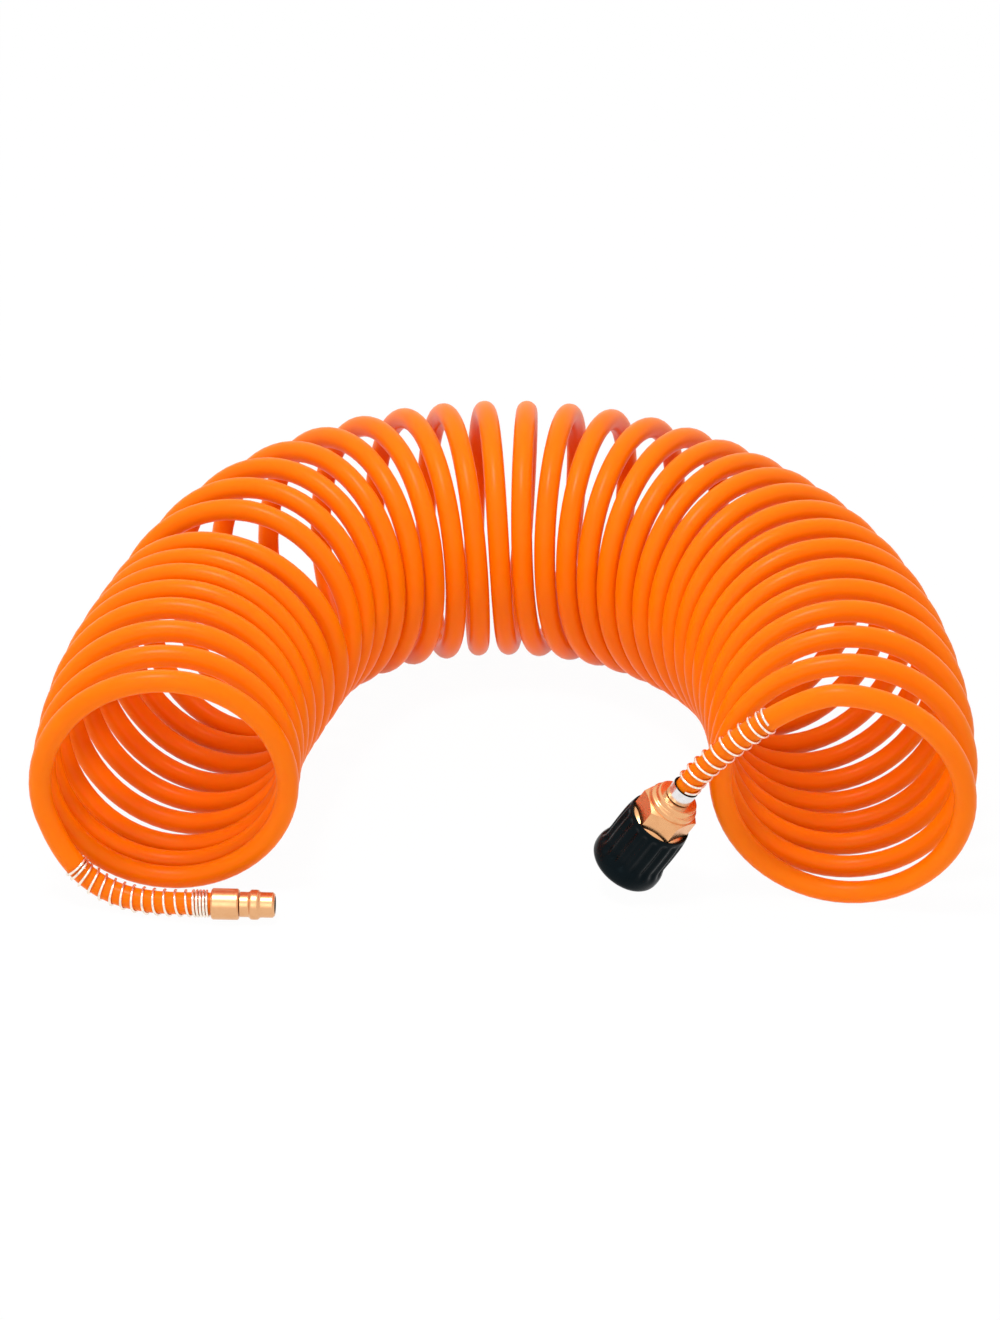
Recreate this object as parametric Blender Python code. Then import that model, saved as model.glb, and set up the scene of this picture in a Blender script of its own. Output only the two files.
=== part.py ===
"""Coiled air hose with a plug at one end and a quick coupler at the other.

A right-handed coil of polyurethane hose lies on its side and is bent into an arch. Both
ends leave the coil, pass through a steel guard spring and are clamped in a ferrule on a
barbed brass stem. The plug lies in front of the left end. The stiff hose holds the
coupler just off the ground, inside the right end: its sleeve slides back against a spring
and lets four locking balls move outwards, and a sprung valve closes its bore.

Units are metres and +Z is up. The arch opens towards -Y and is widest along X. Each
fitting has its own frame, an empty at its ferrule's rear rim with +Z towards its free end.
"""

import math

import bmesh
import bpy
import numpy as np
from mathutils import Matrix, Vector

# ---- Fits ----------------------------------------------------------------------------
GAP = 0.0003
LIFT = 0.0003
WELD = 0.000001
PAST = 0.0010
SMOOTH_ANGLE = math.radians(40.0)

# ---- Hose and its coil ---------------------------------------------------------------
HOSE_OD = 0.0087
HOSE_BORE = 0.0060
BORE_INSET = 0.0003
COIL_RADIUS = 0.0472
COIL_SWELL = 0.0022
COIL_TURNS = 34.4
COIL_START_ANGLE = math.radians(-54.0)
COIL_START = Vector((-0.1290, -0.0975, 0.0))
COIL_HEADING = math.radians(87.5)
COIL_YAW = math.radians(0.5)
COIL_POINTS = 10
COIL_STEPS = 4
HOSE_BEVEL_STEPS = 1
BORE_BEVEL_STEPS = 0
FLAT_SHARE = 0.1
# Along the arch: turns wound so far, open gap at the inner side of the bend (mm), bend to
# the right (degrees in a turn), and forward lean of the loops (degrees).
STRETCHES = (
    (0.0, 6.0, -2.8, -1.0),
    (3.0, 1.9, 5.5, 11.0),
    (6.0, 2.0, 1.8, 6.0),
    (7.6, 8.2, -1.2, 2.5),
    (8.4, 4.7, 5.1, 14.0),
    (10.0, 1.2, 10.1, 13.5),
    (13.0, 1.1, 9.5, 5.5),
    (15.5, 1.0, 6.8, -0.5),
    (19.0, 0.8, 7.7, -3.5),
    (23.0, 0.8, 5.8, -6.0),
    (27.0, 0.8, 6.3, -10.0),
    (31.0, 3.8, 2.7, -10.0),
    (34.5, 7.0, 5.8, -2.0),
)

# ---- Hose ends -----------------------------------------------------------------------
TAIL_SPACING = 0.0120
STRAIGHT_PAST_STEM = 0.0012
END_BORE_SIDES = 12
PLUG_TAIL_HANDLES = (0.0080, 0.0140)
COUPLER_TAIL_HANDLES = (0.0102, 0.0204)

# ---- Guard springs -------------------------------------------------------------------
GUARD_WIRE = 0.0009
GUARD_CLEARANCE = 0.0005
GUARD_POINTS = 8
GUARD_CLOSED_PITCH = 0.0015
PLUG_GUARD_CLOSED_COUNT = 5
PLUG_GUARD_OPEN_COUNT = 10
PLUG_GUARD_PITCH = 0.0044
COUPLER_GUARD_CLOSED_COUNT = 0
COUPLER_GUARD_OPEN_COUNT = 10
COUPLER_GUARD_PITCH = 0.0044
GUARD_FREE_COUNT = 2

# ---- Barbed stems --------------------------------------------------------------------
STEM_FIT = 0.0004
BARB_DEPTH = 0.0004
BARB_PITCH = 0.0025
STEM_SIDES = 16

# ---- Plug ----------------------------------------------------------------------------
PLUG_FROM_COIL = Vector((0.0454, -0.0120, 0.0))
PLUG_HEADING = math.radians(-2.0)
PLUG_FERRULE_RADIUS = 0.00605
PLUG_FERRULE_LENGTH = 0.0108
PLUG_FERRULE_END_WALL = 0.0010
PLUG_FERRULE_CHAMFER = 0.0006
PLUG_STEM_INSIDE = 0.0120
PLUG_STEM_BORE = 0.0030
PLUG_NECK_RADIUS = 0.0049
PLUG_NECK_LENGTH = 0.0039
PLUG_RING_RADIUS = 0.00585
PLUG_RING_LENGTH = 0.0038
PLUG_RING_ROUND = 0.0010
PLUG_TIP_RADIUS = 0.00495
PLUG_TIP_LENGTH = 0.0058
PLUG_TIP_CHAMFER = 0.0008
PLUG_MOUTH_RADIUS = 0.0034
PLUG_MOUTH_DEPTH = 0.0087
PLUG_THROAT_TAPER = 0.0025
PLUG_SIDES = 20

# ---- Coupler: ferrule and adaptor ----------------------------------------------------
COUPLER_FROM_COIL = Vector((-0.0583, 0.0085, -0.0473))
COUPLER_SLOPE = math.radians(59.7)
COUPLER_HEADING = math.radians(165.0)
COUPLER_FERRULE_WALL = 0.00065
COUPLER_FERRULE_LENGTH = 0.0060
COUPLER_FERRULE_END_WALL = 0.0008
COUPLER_FERRULE_CHAMFER = 0.0002
COUPLER_STEM_INSIDE = 0.0075
COUPLER_STEM_BORE = 0.0034
COLLAR_RADIUS = 0.0086
COLLAR_LENGTH = 0.0025
COLLAR_ROUND = 0.0008
SHOULDER_RADIUS = 0.0099
SHOULDER_LENGTH = 0.0024
HEX_ACROSS_FLATS = 0.0206
HEX_LENGTH = 0.0098
HEX_CHAMFER_ANGLE = math.radians(37.0)
HEX_SIDES = 6
SHANK_RADIUS = 0.0070
SHANK_LENGTH = 0.0030
CHAMBER_RADIUS = 0.0054
CHAMBER_LEDGE = 0.0007
COUPLER_SIDES = 24

# ---- Coupler: barrel -----------------------------------------------------------------
GASKET_THICKNESS = 0.0006
FLANGE_HEIGHT = 0.0014
FLANGE_LENGTH = 0.0026
BARREL_WALL = 0.00155
THREAD_DEPTH_SPARE = 0.0003
THROAT_RADIUS = 0.0044
THROAT_LENGTH = 0.0027
TIP_SOCKET_FIT = 0.0002
TIP_SOCKET_LENGTH = 0.0056
PLUG_SOCKET_FIT = 0.0002
BARREL_LENGTH = 0.0262
MOUTH_CHAMFER = 0.0004
O_RING_GROOVE_WIDTH = 0.0022
O_RING_GROOVE_DEPTH = 0.0015
O_RING_SECTION = 0.00075
O_RING_CORNERS = 6
CIRCLIP_INSET = 0.0010
CIRCLIP_THICKNESS = 0.0008
CIRCLIP_GROOVE_DEPTH = 0.0010
CIRCLIP_HEIGHT = 0.0012
CIRCLIP_OPENING = math.radians(50.0)

# ---- Coupler: locking balls ----------------------------------------------------------
BALL_RADIUS = 0.00175
BALL_COUNT = 4
BALL_OUT = 0.00065
BALL_TO_END = 0.0096
BALL_LANE_ANGLE = math.radians(45.0)
BALL_SIDES = 12
BALL_RINGS = 8

# ---- Coupler: valve ------------------------------------------------------------------
VALVE_HEAD_THICKNESS = 0.0014
VALVE_HEAD_FIT = 0.0003
VALVE_STEM_LENGTH = 0.0076
VALVE_STEM_WALL = 0.0009
VALVE_CUP_DEPTH = 0.0052
VALVE_WINDOW_RADIUS = 0.0010
VALVE_SEAL_THICKNESS = 0.0008
VALVE_SPRING_WIRE = 0.0006
VALVE_SPRING_COUNT = 5
INNER_SPRING_POINTS = 10

# ---- Coupler: sleeve -----------------------------------------------------------------
SPRING_ROOM = 0.0019
LINER_REAR_WALL = 0.0009
LINER_STEP_HEIGHT = 0.0008
LINER_LENGTH = 0.0202
LINER_SHOULDER_LENGTH = 0.0025
LINER_STEP_STATION = 0.0143
CONE_SLOPE = 0.24
CONE_LEAD = 0.0018
CONE_LENGTH = 0.0078
LIP_LENGTH = 0.0009
LIP_CLEARANCE = 0.0006
SLEEVE_SPRING_WIRE = 0.0008
SLEEVE_SPRING_COUNT = 3
WASHER_THICKNESS = 0.0008
GRIP_OVER_HEX = 0.0010
GRIP_RIM_WALL = 0.0008
GRIP_WALL = 0.0016
GRIP_SHOULDER_LENGTH = 0.0020
GRIP_FLARE_HEIGHT = 0.0008
GRIP_NOSE_DROP = 0.0014
GRIP_FLARE_LENGTH = 0.0075
GRIP_NOSE_LENGTH = 0.0020
GRIP_RIB_COUNT = 18
GRIP_RIB_DEPTH = 0.0007
GRIP_RIB_END = 0.0015

# ---- Finishes: colour, roughness, metallic -------------------------------------------
FINISHES = {
    "hose_orange": ((1.0, 0.13, 0.0), 0.35, 0.0),
    "pale_brass": ((0.87, 0.62, 0.33), 0.28, 1.0),
    "bright_steel": ((0.80, 0.81, 0.83), 0.22, 1.0),
    "black_rubber": ((0.012, 0.016, 0.018), 0.50, 0.0),
    "seal_rubber": ((0.020, 0.020, 0.020), 0.60, 0.0),
}


# ---- Scene and objects ---------------------------------------------------------------
def clear_scene():
    """Remove what the file holds."""
    for thing in list(bpy.data.objects):
        bpy.data.objects.remove(thing, do_unlink=True)


def finish(name, piece):
    """A material of its own for one piece, from the named finish."""
    colour, roughness, metallic = FINISHES[name]
    material = bpy.data.materials.new(piece + "_" + name)
    material.use_nodes = True
    shader = material.node_tree.nodes["Principled BSDF"]
    shader.inputs["Base Color"].default_value = (*colour, 1.0)
    shader.inputs["Roughness"].default_value = roughness
    shader.inputs["Metallic"].default_value = metallic
    return material


def empty(name, parent=None, matrix=None):
    """A frame that other objects hang from."""
    frame = bpy.data.objects.new(name, None)
    bpy.context.scene.collection.objects.link(frame)
    frame.parent = parent
    frame.matrix_local = matrix if matrix is not None else Matrix.Identity(4)
    frame.empty_display_size = HOSE_OD
    return frame


def place(name, mesh, parent, look, location=(0.0, 0.0, 0.0)):
    """Put a mesh in the scene as one piece, smooth on its round faces."""
    piece = bpy.data.objects.new(name, mesh)
    bpy.context.scene.collection.objects.link(piece)
    piece.parent = parent
    piece.location = location
    mesh.materials.clear()
    mesh.materials.append(finish(look, name))
    mesh.shade_smooth()
    mesh.set_sharp_from_angle(angle=SMOOTH_ANGLE)
    return piece


def cutter(name, mesh, parent):
    """A shape that only takes part in Booleans."""
    tool = bpy.data.objects.new(name, mesh)
    bpy.context.scene.collection.objects.link(tool)
    tool.parent = parent
    tool.hide_render = True
    tool.display_type = "WIRE"
    return tool


def boolean(piece, tool, operation):
    """Combine a piece with a tool by a Boolean modifier."""
    modifier = piece.modifiers.new(tool.name, "BOOLEAN")
    modifier.operation = operation
    modifier.object = tool
    modifier.solver = "EXACT"


# ---- Meshes --------------------------------------------------------------------------
def mesh_from(shape, name):
    """Turn a bmesh into a mesh with its faces pointing out."""
    bmesh.ops.recalc_face_normals(shape, faces=shape.faces)
    mesh = bpy.data.meshes.new(name)
    shape.to_mesh(mesh)
    shape.free()
    return mesh


def revolved(name, outline, sides, sweep=2.0 * math.pi):
    """Turn a (radius, height) outline about Z: a ring, part of a ring, or a solid."""
    shape = bmesh.new()
    rim = [shape.verts.new((radius, 0.0, height)) for radius, height in outline]
    sides_of_outline = [
        shape.edges.new(pair)
        for pair in zip(rim, rim[1:] + rim[:1])
        if pair[0].co.x > 0.0 or pair[1].co.x > 0.0
    ]
    whole = math.isclose(sweep, 2.0 * math.pi)
    bmesh.ops.spin(
        shape, geom=rim + sides_of_outline, cent=(0, 0, 0), axis=(0, 0, 1),
        angle=sweep, steps=sides, use_merge=whole,
    )
    bmesh.ops.remove_doubles(shape, verts=shape.verts, dist=WELD)
    if not whole:
        open_edges = [edge for edge in shape.edges if edge.is_boundary]
        bmesh.ops.holes_fill(shape, edges=open_edges, sides=0)
    return mesh_from(shape, name)


def cylinder(name, radius, start, end, sides, turn=Matrix.Identity(4)):
    """A cylinder along Z from start to end, then turned."""
    shape = bmesh.new()
    middle = Matrix.Translation((0.0, 0.0, (start + end) / 2))
    bmesh.ops.create_cone(
        shape, cap_ends=True, segments=sides, radius1=radius, radius2=radius,
        depth=end - start, matrix=turn @ middle,
    )
    return mesh_from(shape, name)


def tube(name, points, radius, bevel):
    """A tube through points, as a polyline curve with a round bevel, turned into a mesh."""
    curve = bpy.data.curves.new(name + "_path", "CURVE")
    curve.dimensions = "3D"
    curve.twist_mode = "MINIMUM"
    curve.bevel_depth = radius
    curve.bevel_resolution = bevel
    curve.use_fill_caps = True
    line = curve.splines.new("POLY")
    line.points.add(len(points) - 1)
    for node, point in zip(line.points, points):
        node.co = (*point, 1.0)
    holder = bpy.data.objects.new(name + "_path", curve)
    bpy.context.scene.collection.objects.link(holder)
    graph = bpy.context.evaluated_depsgraph_get()
    mesh = bpy.data.meshes.new_from_object(holder.evaluated_get(graph))
    bpy.data.objects.remove(holder, do_unlink=True)
    shape = bmesh.new()
    shape.from_mesh(mesh)
    bmesh.ops.remove_doubles(shape, verts=shape.verts, dist=WELD)
    return mesh_from(shape, name)


# ---- Routes --------------------------------------------------------------------------
def coil_route():
    """The coil's centreline, and its directions at both ends."""
    count = round(COIL_TURNS * COIL_POINTS) * COIL_STEPS
    turns = np.linspace(0.0, COIL_TURNS, count + 1)
    knots, gaps, bends, leans = np.array(STRETCHES).T
    bend = np.radians(np.interp(turns, knots, bends))
    lean = np.radians(np.interp(turns, knots, leans))
    pitch = HOSE_OD + np.interp(turns, knots, gaps) / 1000 + COIL_RADIUS * np.abs(bend)
    step = COIL_TURNS / count
    heading = COIL_HEADING - summed(bend, step)
    middle_x = COIL_START.x + summed(pitch * np.cos(heading), step)
    middle_y = COIL_START.y + summed(pitch * np.sin(heading), step)
    radius = COIL_RADIUS + COIL_SWELL * np.sin(math.pi * turns / COIL_TURNS) ** 2
    angle = COIL_START_ANGLE + 2.0 * math.pi * turns
    side = radius * np.cos(angle)
    rise = radius * np.sin(angle)
    ahead = rise * np.tan(lean) + side * math.tan(COIL_YAW)
    x = middle_x - side * np.sin(heading) + ahead * np.cos(heading)
    y = middle_y + side * np.cos(heading) + ahead * np.sin(heading)
    route = np.stack([x, y, radius + HOSE_OD / 2 + rise], axis=1)
    first = route[1] - route[0]
    last = route[-1] - route[-2]
    return route[::COIL_STEPS], unit(first), unit(last)


def summed(rate, step):
    """The running total of a rate, by the trapezium rule."""
    return np.concatenate([[0.0], np.cumsum(rate[1:] + rate[:-1]) * step / 2])


def unit(vector):
    """A vector's direction."""
    return np.asarray(vector) / np.linalg.norm(vector)


def bezier(start, start_handle, end_handle, end):
    """Points on a cubic, about one every TAIL_SPACING, without its two ends."""
    reach = np.linalg.norm(np.subtract(end, start))
    count = max(2, math.ceil(reach / TAIL_SPACING))
    t = np.linspace(0.0, 1.0, count + 1)[1:-1, None]
    return (
        (1 - t) ** 3 * start
        + 3 * (1 - t) ** 2 * t * start_handle
        + 3 * (1 - t) * t**2 * end_handle
        + t**3 * end
    )


def fitting_matrix(place_at, heading, slope):
    """A frame whose Z points along the heading, slope below the horizontal."""
    out = Vector((
        math.cos(heading) * math.cos(slope), math.sin(heading) * math.cos(slope), -math.sin(slope)
    ))
    turn = out.to_track_quat("Z", "Y").to_matrix().to_4x4()
    return Matrix.Translation(place_at) @ turn


def along(matrix, height):
    """A point on a fitting's axis, and so also its direction from another one."""
    return np.array(matrix @ Vector((0.0, 0.0, height)))


def tail(matrix, hose_end, stem_start, coil_end, coil_out, handles):
    """The hose from its end in a fitting to the coil, straight while the stem is in it."""
    inside = along(matrix, hose_end)
    free = along(matrix, stem_start - STRAIGHT_PAST_STEM)
    back = unit(free - inside)
    curve = bezier(
        free, free + back * handles[0], coil_end + coil_out * handles[1], coil_end
    )
    return np.concatenate([[inside, free], curve])


def least_gap(points, thickness, points_per_curl):
    """The least open gap between stretches of a tube that are over half a curl apart."""
    starts = points[:-1]
    sides = points[1:] - starts
    lengths = (sides * sides).sum(axis=1)
    least = math.inf
    for number, point in enumerate(points):
        far = np.abs(np.arange(len(starts)) - number) > points_per_curl / 2
        share = ((point - starts[far]) * sides[far]).sum(axis=1) / lengths[far]
        nearest = starts[far] + np.clip(share, 0.0, 1.0)[:, None] * sides[far]
        least = min(least, np.linalg.norm(point - nearest, axis=1).min())
    return least - thickness


def wound(centre, radius, pitches, points_per_curl):
    """A helix round a polyline, each curl taking its own pitch along it."""
    lengths = np.concatenate([[0.0], np.cumsum(np.linalg.norm(np.diff(centre, axis=0), axis=1))])
    tangents = np.gradient(centre, lengths, axis=0)
    climbs = np.concatenate([[0.0], np.cumsum(np.repeat(pitches, points_per_curl))])
    climbs = climbs / points_per_curl
    across = np.cross(unit(tangents[0]), (0.0, 0.0, 1.0))
    if np.linalg.norm(across) < 0.1:
        across = np.array((1.0, 0.0, 0.0))
    route = []
    for number, climb in enumerate(climbs):
        middle = np.array([np.interp(climb, lengths, centre[:, k]) for k in range(3)])
        ahead = unit([np.interp(climb, lengths, tangents[:, k]) for k in range(3)])
        across = unit(across - ahead * np.dot(across, ahead))
        up = np.cross(ahead, across)
        angle = 2.0 * math.pi * number / points_per_curl
        route.append(middle + radius * (math.cos(angle) * across + math.sin(angle) * up))
    return np.array(route)


# ---- Outlines: (radius, height) points -----------------------------------------------
def barbs(root, start, end):
    """The outer side of a barbed stem from its free end up to the height end."""
    outline = [(root, start)]
    height = start + BARB_PITCH
    while height < end - BARB_PITCH / 2:
        outline += [(root + BARB_DEPTH, height), (root, height + BARB_DEPTH / 2)]
        height += BARB_PITCH
    return outline


def ferrule_outline(bore, outer, length, end_wall, hole, chamfer):
    """A cup pressed over the hose, with a hole for the stem in its end wall."""
    return [
        (bore, 0.0),
        (outer - chamfer, 0.0),
        (outer, chamfer),
        (outer, length - chamfer),
        (outer - chamfer, length),
        (hole, length),
        (hole, length - end_wall),
        (bore, length - end_wall),
    ]


def rounded(radius, start, end, fillet):
    """The outer side of a collar with its two corners cut back."""
    cut = fillet * (1.0 - math.sqrt(0.5))
    return [
        (radius - fillet, start),
        (radius - cut, start + cut),
        (radius, start + fillet),
        (radius, end - fillet),
        (radius - cut, end - cut),
        (radius - fillet, end),
    ]


# ---- Stations along the plug's axis, from its ferrule's rear rim ---------------------
PLUG_HOSE_END = PLUG_FERRULE_LENGTH - PLUG_FERRULE_END_WALL - GAP
PLUG_STEM_START = PLUG_HOSE_END - PLUG_STEM_INSIDE
PLUG_NECK_START = PLUG_FERRULE_LENGTH + GAP
PLUG_RING_START = PLUG_NECK_START + PLUG_NECK_LENGTH
PLUG_RING_END = PLUG_RING_START + PLUG_RING_LENGTH
PLUG_END = PLUG_RING_END + PLUG_TIP_LENGTH

# ---- Stations along the coupler's axis, from its ferrule's rear rim ------------------
COUPLER_HOSE_END = COUPLER_FERRULE_LENGTH - COUPLER_FERRULE_END_WALL - GAP
COUPLER_STEM_START = COUPLER_HOSE_END - COUPLER_STEM_INSIDE
COLLAR_START = COUPLER_FERRULE_LENGTH + GAP
COLLAR_END = COLLAR_START + COLLAR_LENGTH
HEX_START = COLLAR_END + SHOULDER_LENGTH
CHAMBER_START = HEX_START + CHAMBER_LEDGE
SHANK_START = HEX_START + HEX_LENGTH
SHANK_END = SHANK_START + SHANK_LENGTH
GASKET_START = SHANK_START + GAP
BARREL_START = GASKET_START + GASKET_THICKNESS + GAP
FLANGE_END = BARREL_START + FLANGE_LENGTH
COUNTERBORE_END = SHANK_END + THREAD_DEPTH_SPARE
THROAT_END = COUNTERBORE_END + THROAT_LENGTH
TIP_SOCKET_END = THROAT_END + TIP_SOCKET_LENGTH
O_RING_STATION = (THROAT_END + TIP_SOCKET_END) / 2
BARREL_END = BARREL_START + BARREL_LENGTH
BALL_PLANE = BARREL_END - BALL_TO_END
CIRCLIP_END = BARREL_END - CIRCLIP_INSET
CIRCLIP_START = CIRCLIP_END - CIRCLIP_THICKNESS
SLEEVE_END = CIRCLIP_START - GAP
LINER_START = SLEEVE_END - LINER_LENGTH
LINER_STEP = LINER_START + LINER_STEP_STATION
GRIP_START = SHANK_START - GRIP_OVER_HEX
CONE_START = BALL_PLANE - CONE_LEAD
SHOULDER_END = CONE_START - GAP
SHOULDER_START = SHOULDER_END - LINER_SHOULDER_LENGTH
WASHER_START = SHOULDER_START - GAP - WASHER_THICKNESS
VALVE_SEAL_END = COUNTERBORE_END - GAP
VALVE_SEAL_START = VALVE_SEAL_END - VALVE_SEAL_THICKNESS
VALVE_HEAD_END = VALVE_SEAL_START - GAP
VALVE_HEAD_START = VALVE_HEAD_END - VALVE_HEAD_THICKNESS
VALVE_STEM_END = VALVE_HEAD_END + VALVE_STEM_LENGTH

# ---- Radii that follow from a neighbour ----------------------------------------------
STEM_ROOT = HOSE_BORE / 2 - STEM_FIT - BARB_DEPTH
STEM_SHOULDER = HOSE_BORE / 2 - STEM_FIT
FERRULE_HOLE = STEM_SHOULDER + GAP
FERRULE_BORE = HOSE_OD / 2 + GAP
HEX_CORNER = HEX_ACROSS_FLATS / 2 / math.cos(math.pi / HEX_SIDES)
TIP_SOCKET_RADIUS = PLUG_TIP_RADIUS + TIP_SOCKET_FIT
PLUG_SOCKET_RADIUS = PLUG_RING_RADIUS + PLUG_SOCKET_FIT
BARREL_RADIUS = PLUG_SOCKET_RADIUS + BARREL_WALL
BALL_CENTRE_RADIUS = PLUG_SOCKET_RADIUS + BALL_OUT
FLANGE_RADIUS = BARREL_RADIUS + FLANGE_HEIGHT
CIRCLIP_OUTER_RADIUS = BARREL_RADIUS + CIRCLIP_HEIGHT
LINER_REAR_BORE = BARREL_RADIUS + SPRING_ROOM
LINER_REAR_RADIUS = LINER_REAR_BORE + LINER_REAR_WALL
LINER_FRONT_RADIUS = LINER_REAR_RADIUS + LINER_STEP_HEIGHT
LIP_BORE_RADIUS = BARREL_RADIUS + LIP_CLEARANCE
GRIP_HEX_BORE = max(HEX_CORNER, LINER_REAR_RADIUS) + GAP
GRIP_REAR_RADIUS = GRIP_HEX_BORE + GRIP_RIM_WALL
GRIP_WAIST_RADIUS = GRIP_HEX_BORE + GRIP_WALL
GRIP_FLARE_RADIUS = GRIP_WAIST_RADIUS + GRIP_FLARE_HEIGHT
GRIP_NOSE_RADIUS = GRIP_FLARE_RADIUS - GRIP_NOSE_DROP
GUARD_RADIUS = HOSE_OD / 2 + GUARD_WIRE / 2 + GUARD_CLEARANCE
VALVE_STEM_RADIUS = THROAT_RADIUS - GAP
VALVE_HEAD_RADIUS = CHAMBER_RADIUS - VALVE_HEAD_FIT
CONE_RADIUS_AT_BALL = BALL_CENTRE_RADIUS + (BALL_RADIUS + GAP) * math.hypot(1.0, CONE_SLOPE)


# ---- Pitches of the guard springs, curl by curl --------------------------------------
PLUG_GUARD_PITCHES = (
    [GUARD_CLOSED_PITCH] * PLUG_GUARD_CLOSED_COUNT
    + [PLUG_GUARD_PITCH] * PLUG_GUARD_OPEN_COUNT
    + [GUARD_CLOSED_PITCH] * GUARD_FREE_COUNT
)
COUPLER_GUARD_PITCHES = (
    [GUARD_CLOSED_PITCH] * COUPLER_GUARD_CLOSED_COUNT
    + [COUPLER_GUARD_PITCH] * COUPLER_GUARD_OPEN_COUNT
    + [GUARD_CLOSED_PITCH] * GUARD_FREE_COUNT
)


# ---- Plug ----------------------------------------------------------------------------
def make_plug(frame):
    """The ferrule and the one-piece nipple with its barbed stem."""
    outline = ferrule_outline(
        FERRULE_BORE, PLUG_FERRULE_RADIUS, PLUG_FERRULE_LENGTH,
        PLUG_FERRULE_END_WALL, FERRULE_HOLE, PLUG_FERRULE_CHAMFER,
    )
    place("plug_ferrule", revolved("plug_ferrule", outline, PLUG_SIDES), frame, "pale_brass")
    mouth_end = PLUG_END - PLUG_MOUTH_DEPTH
    outline = [
        (PLUG_STEM_BORE / 2, PLUG_STEM_START),
        *barbs(STEM_ROOT, PLUG_STEM_START, PLUG_HOSE_END),
        (STEM_SHOULDER, PLUG_HOSE_END),
        (STEM_SHOULDER, PLUG_NECK_START),
        (PLUG_NECK_RADIUS, PLUG_NECK_START),
        (PLUG_NECK_RADIUS, PLUG_RING_START),
        *rounded(PLUG_RING_RADIUS, PLUG_RING_START, PLUG_RING_END, PLUG_RING_ROUND),
        (PLUG_TIP_RADIUS, PLUG_RING_END),
        (PLUG_TIP_RADIUS, PLUG_END - PLUG_TIP_CHAMFER),
        (PLUG_TIP_RADIUS - PLUG_TIP_CHAMFER, PLUG_END),
        (PLUG_MOUTH_RADIUS, PLUG_END),
        (PLUG_MOUTH_RADIUS, mouth_end),
        (PLUG_STEM_BORE / 2, mouth_end - PLUG_THROAT_TAPER),
    ]
    place("plug_body", revolved("plug_body", outline, PLUG_SIDES), frame, "pale_brass")


# ---- Coupler -------------------------------------------------------------------------
def make_adaptor(frame):
    """The ferrule, the hexagon piece with its stem and valve chamber, and its gasket."""
    outline = ferrule_outline(
        FERRULE_BORE, FERRULE_BORE + COUPLER_FERRULE_WALL, COUPLER_FERRULE_LENGTH,
        COUPLER_FERRULE_END_WALL, FERRULE_HOLE, COUPLER_FERRULE_CHAMFER,
    )
    mesh = revolved("coupler_ferrule", outline, PLUG_SIDES)
    place("coupler_ferrule", mesh, frame, "bright_steel")
    corner = HEX_CORNER
    drop = (corner - HEX_ACROSS_FLATS / 2) * math.tan(HEX_CHAMFER_ANGLE)
    face = HEX_ACROSS_FLATS / 2
    outline = [
        (COUPLER_STEM_BORE / 2, COUPLER_STEM_START),
        *barbs(STEM_ROOT, COUPLER_STEM_START, COUPLER_HOSE_END),
        (STEM_SHOULDER, COUPLER_HOSE_END),
        (STEM_SHOULDER, COLLAR_START),
        *rounded(COLLAR_RADIUS, COLLAR_START, COLLAR_END, COLLAR_ROUND),
        (SHOULDER_RADIUS, COLLAR_END),
        (SHOULDER_RADIUS, HEX_START),
        (face, HEX_START),
        (corner, HEX_START + drop),
        (corner, SHANK_START - drop),
        (face, SHANK_START),
        (SHANK_RADIUS, SHANK_START),
        (SHANK_RADIUS, SHANK_END),
        (CHAMBER_RADIUS, SHANK_END),
        (CHAMBER_RADIUS, CHAMBER_START),
        (COUPLER_STEM_BORE / 2, CHAMBER_START),
    ]
    adaptor = place(
        "coupler_adaptor", revolved("coupler_adaptor", outline, COUPLER_SIDES), frame, "pale_brass"
    )
    prism = cylinder("hexagon", corner, COUPLER_STEM_START - PAST, SHANK_END + PAST, HEX_SIDES)
    boolean(adaptor, cutter("hexagon", prism, frame), "INTERSECT")
    outline = ring_outline(SHANK_RADIUS + GAP, FLANGE_RADIUS - GAP, GASKET_START, GASKET_THICKNESS)
    place("adaptor_seal", revolved("adaptor_seal", outline, COUPLER_SIDES), frame, "seal_rubber")


def ring_outline(inner, outer, start, thickness):
    """A flat ring."""
    return [(inner, start), (outer, start), (outer, start + thickness), (inner, start + thickness)]


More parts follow.
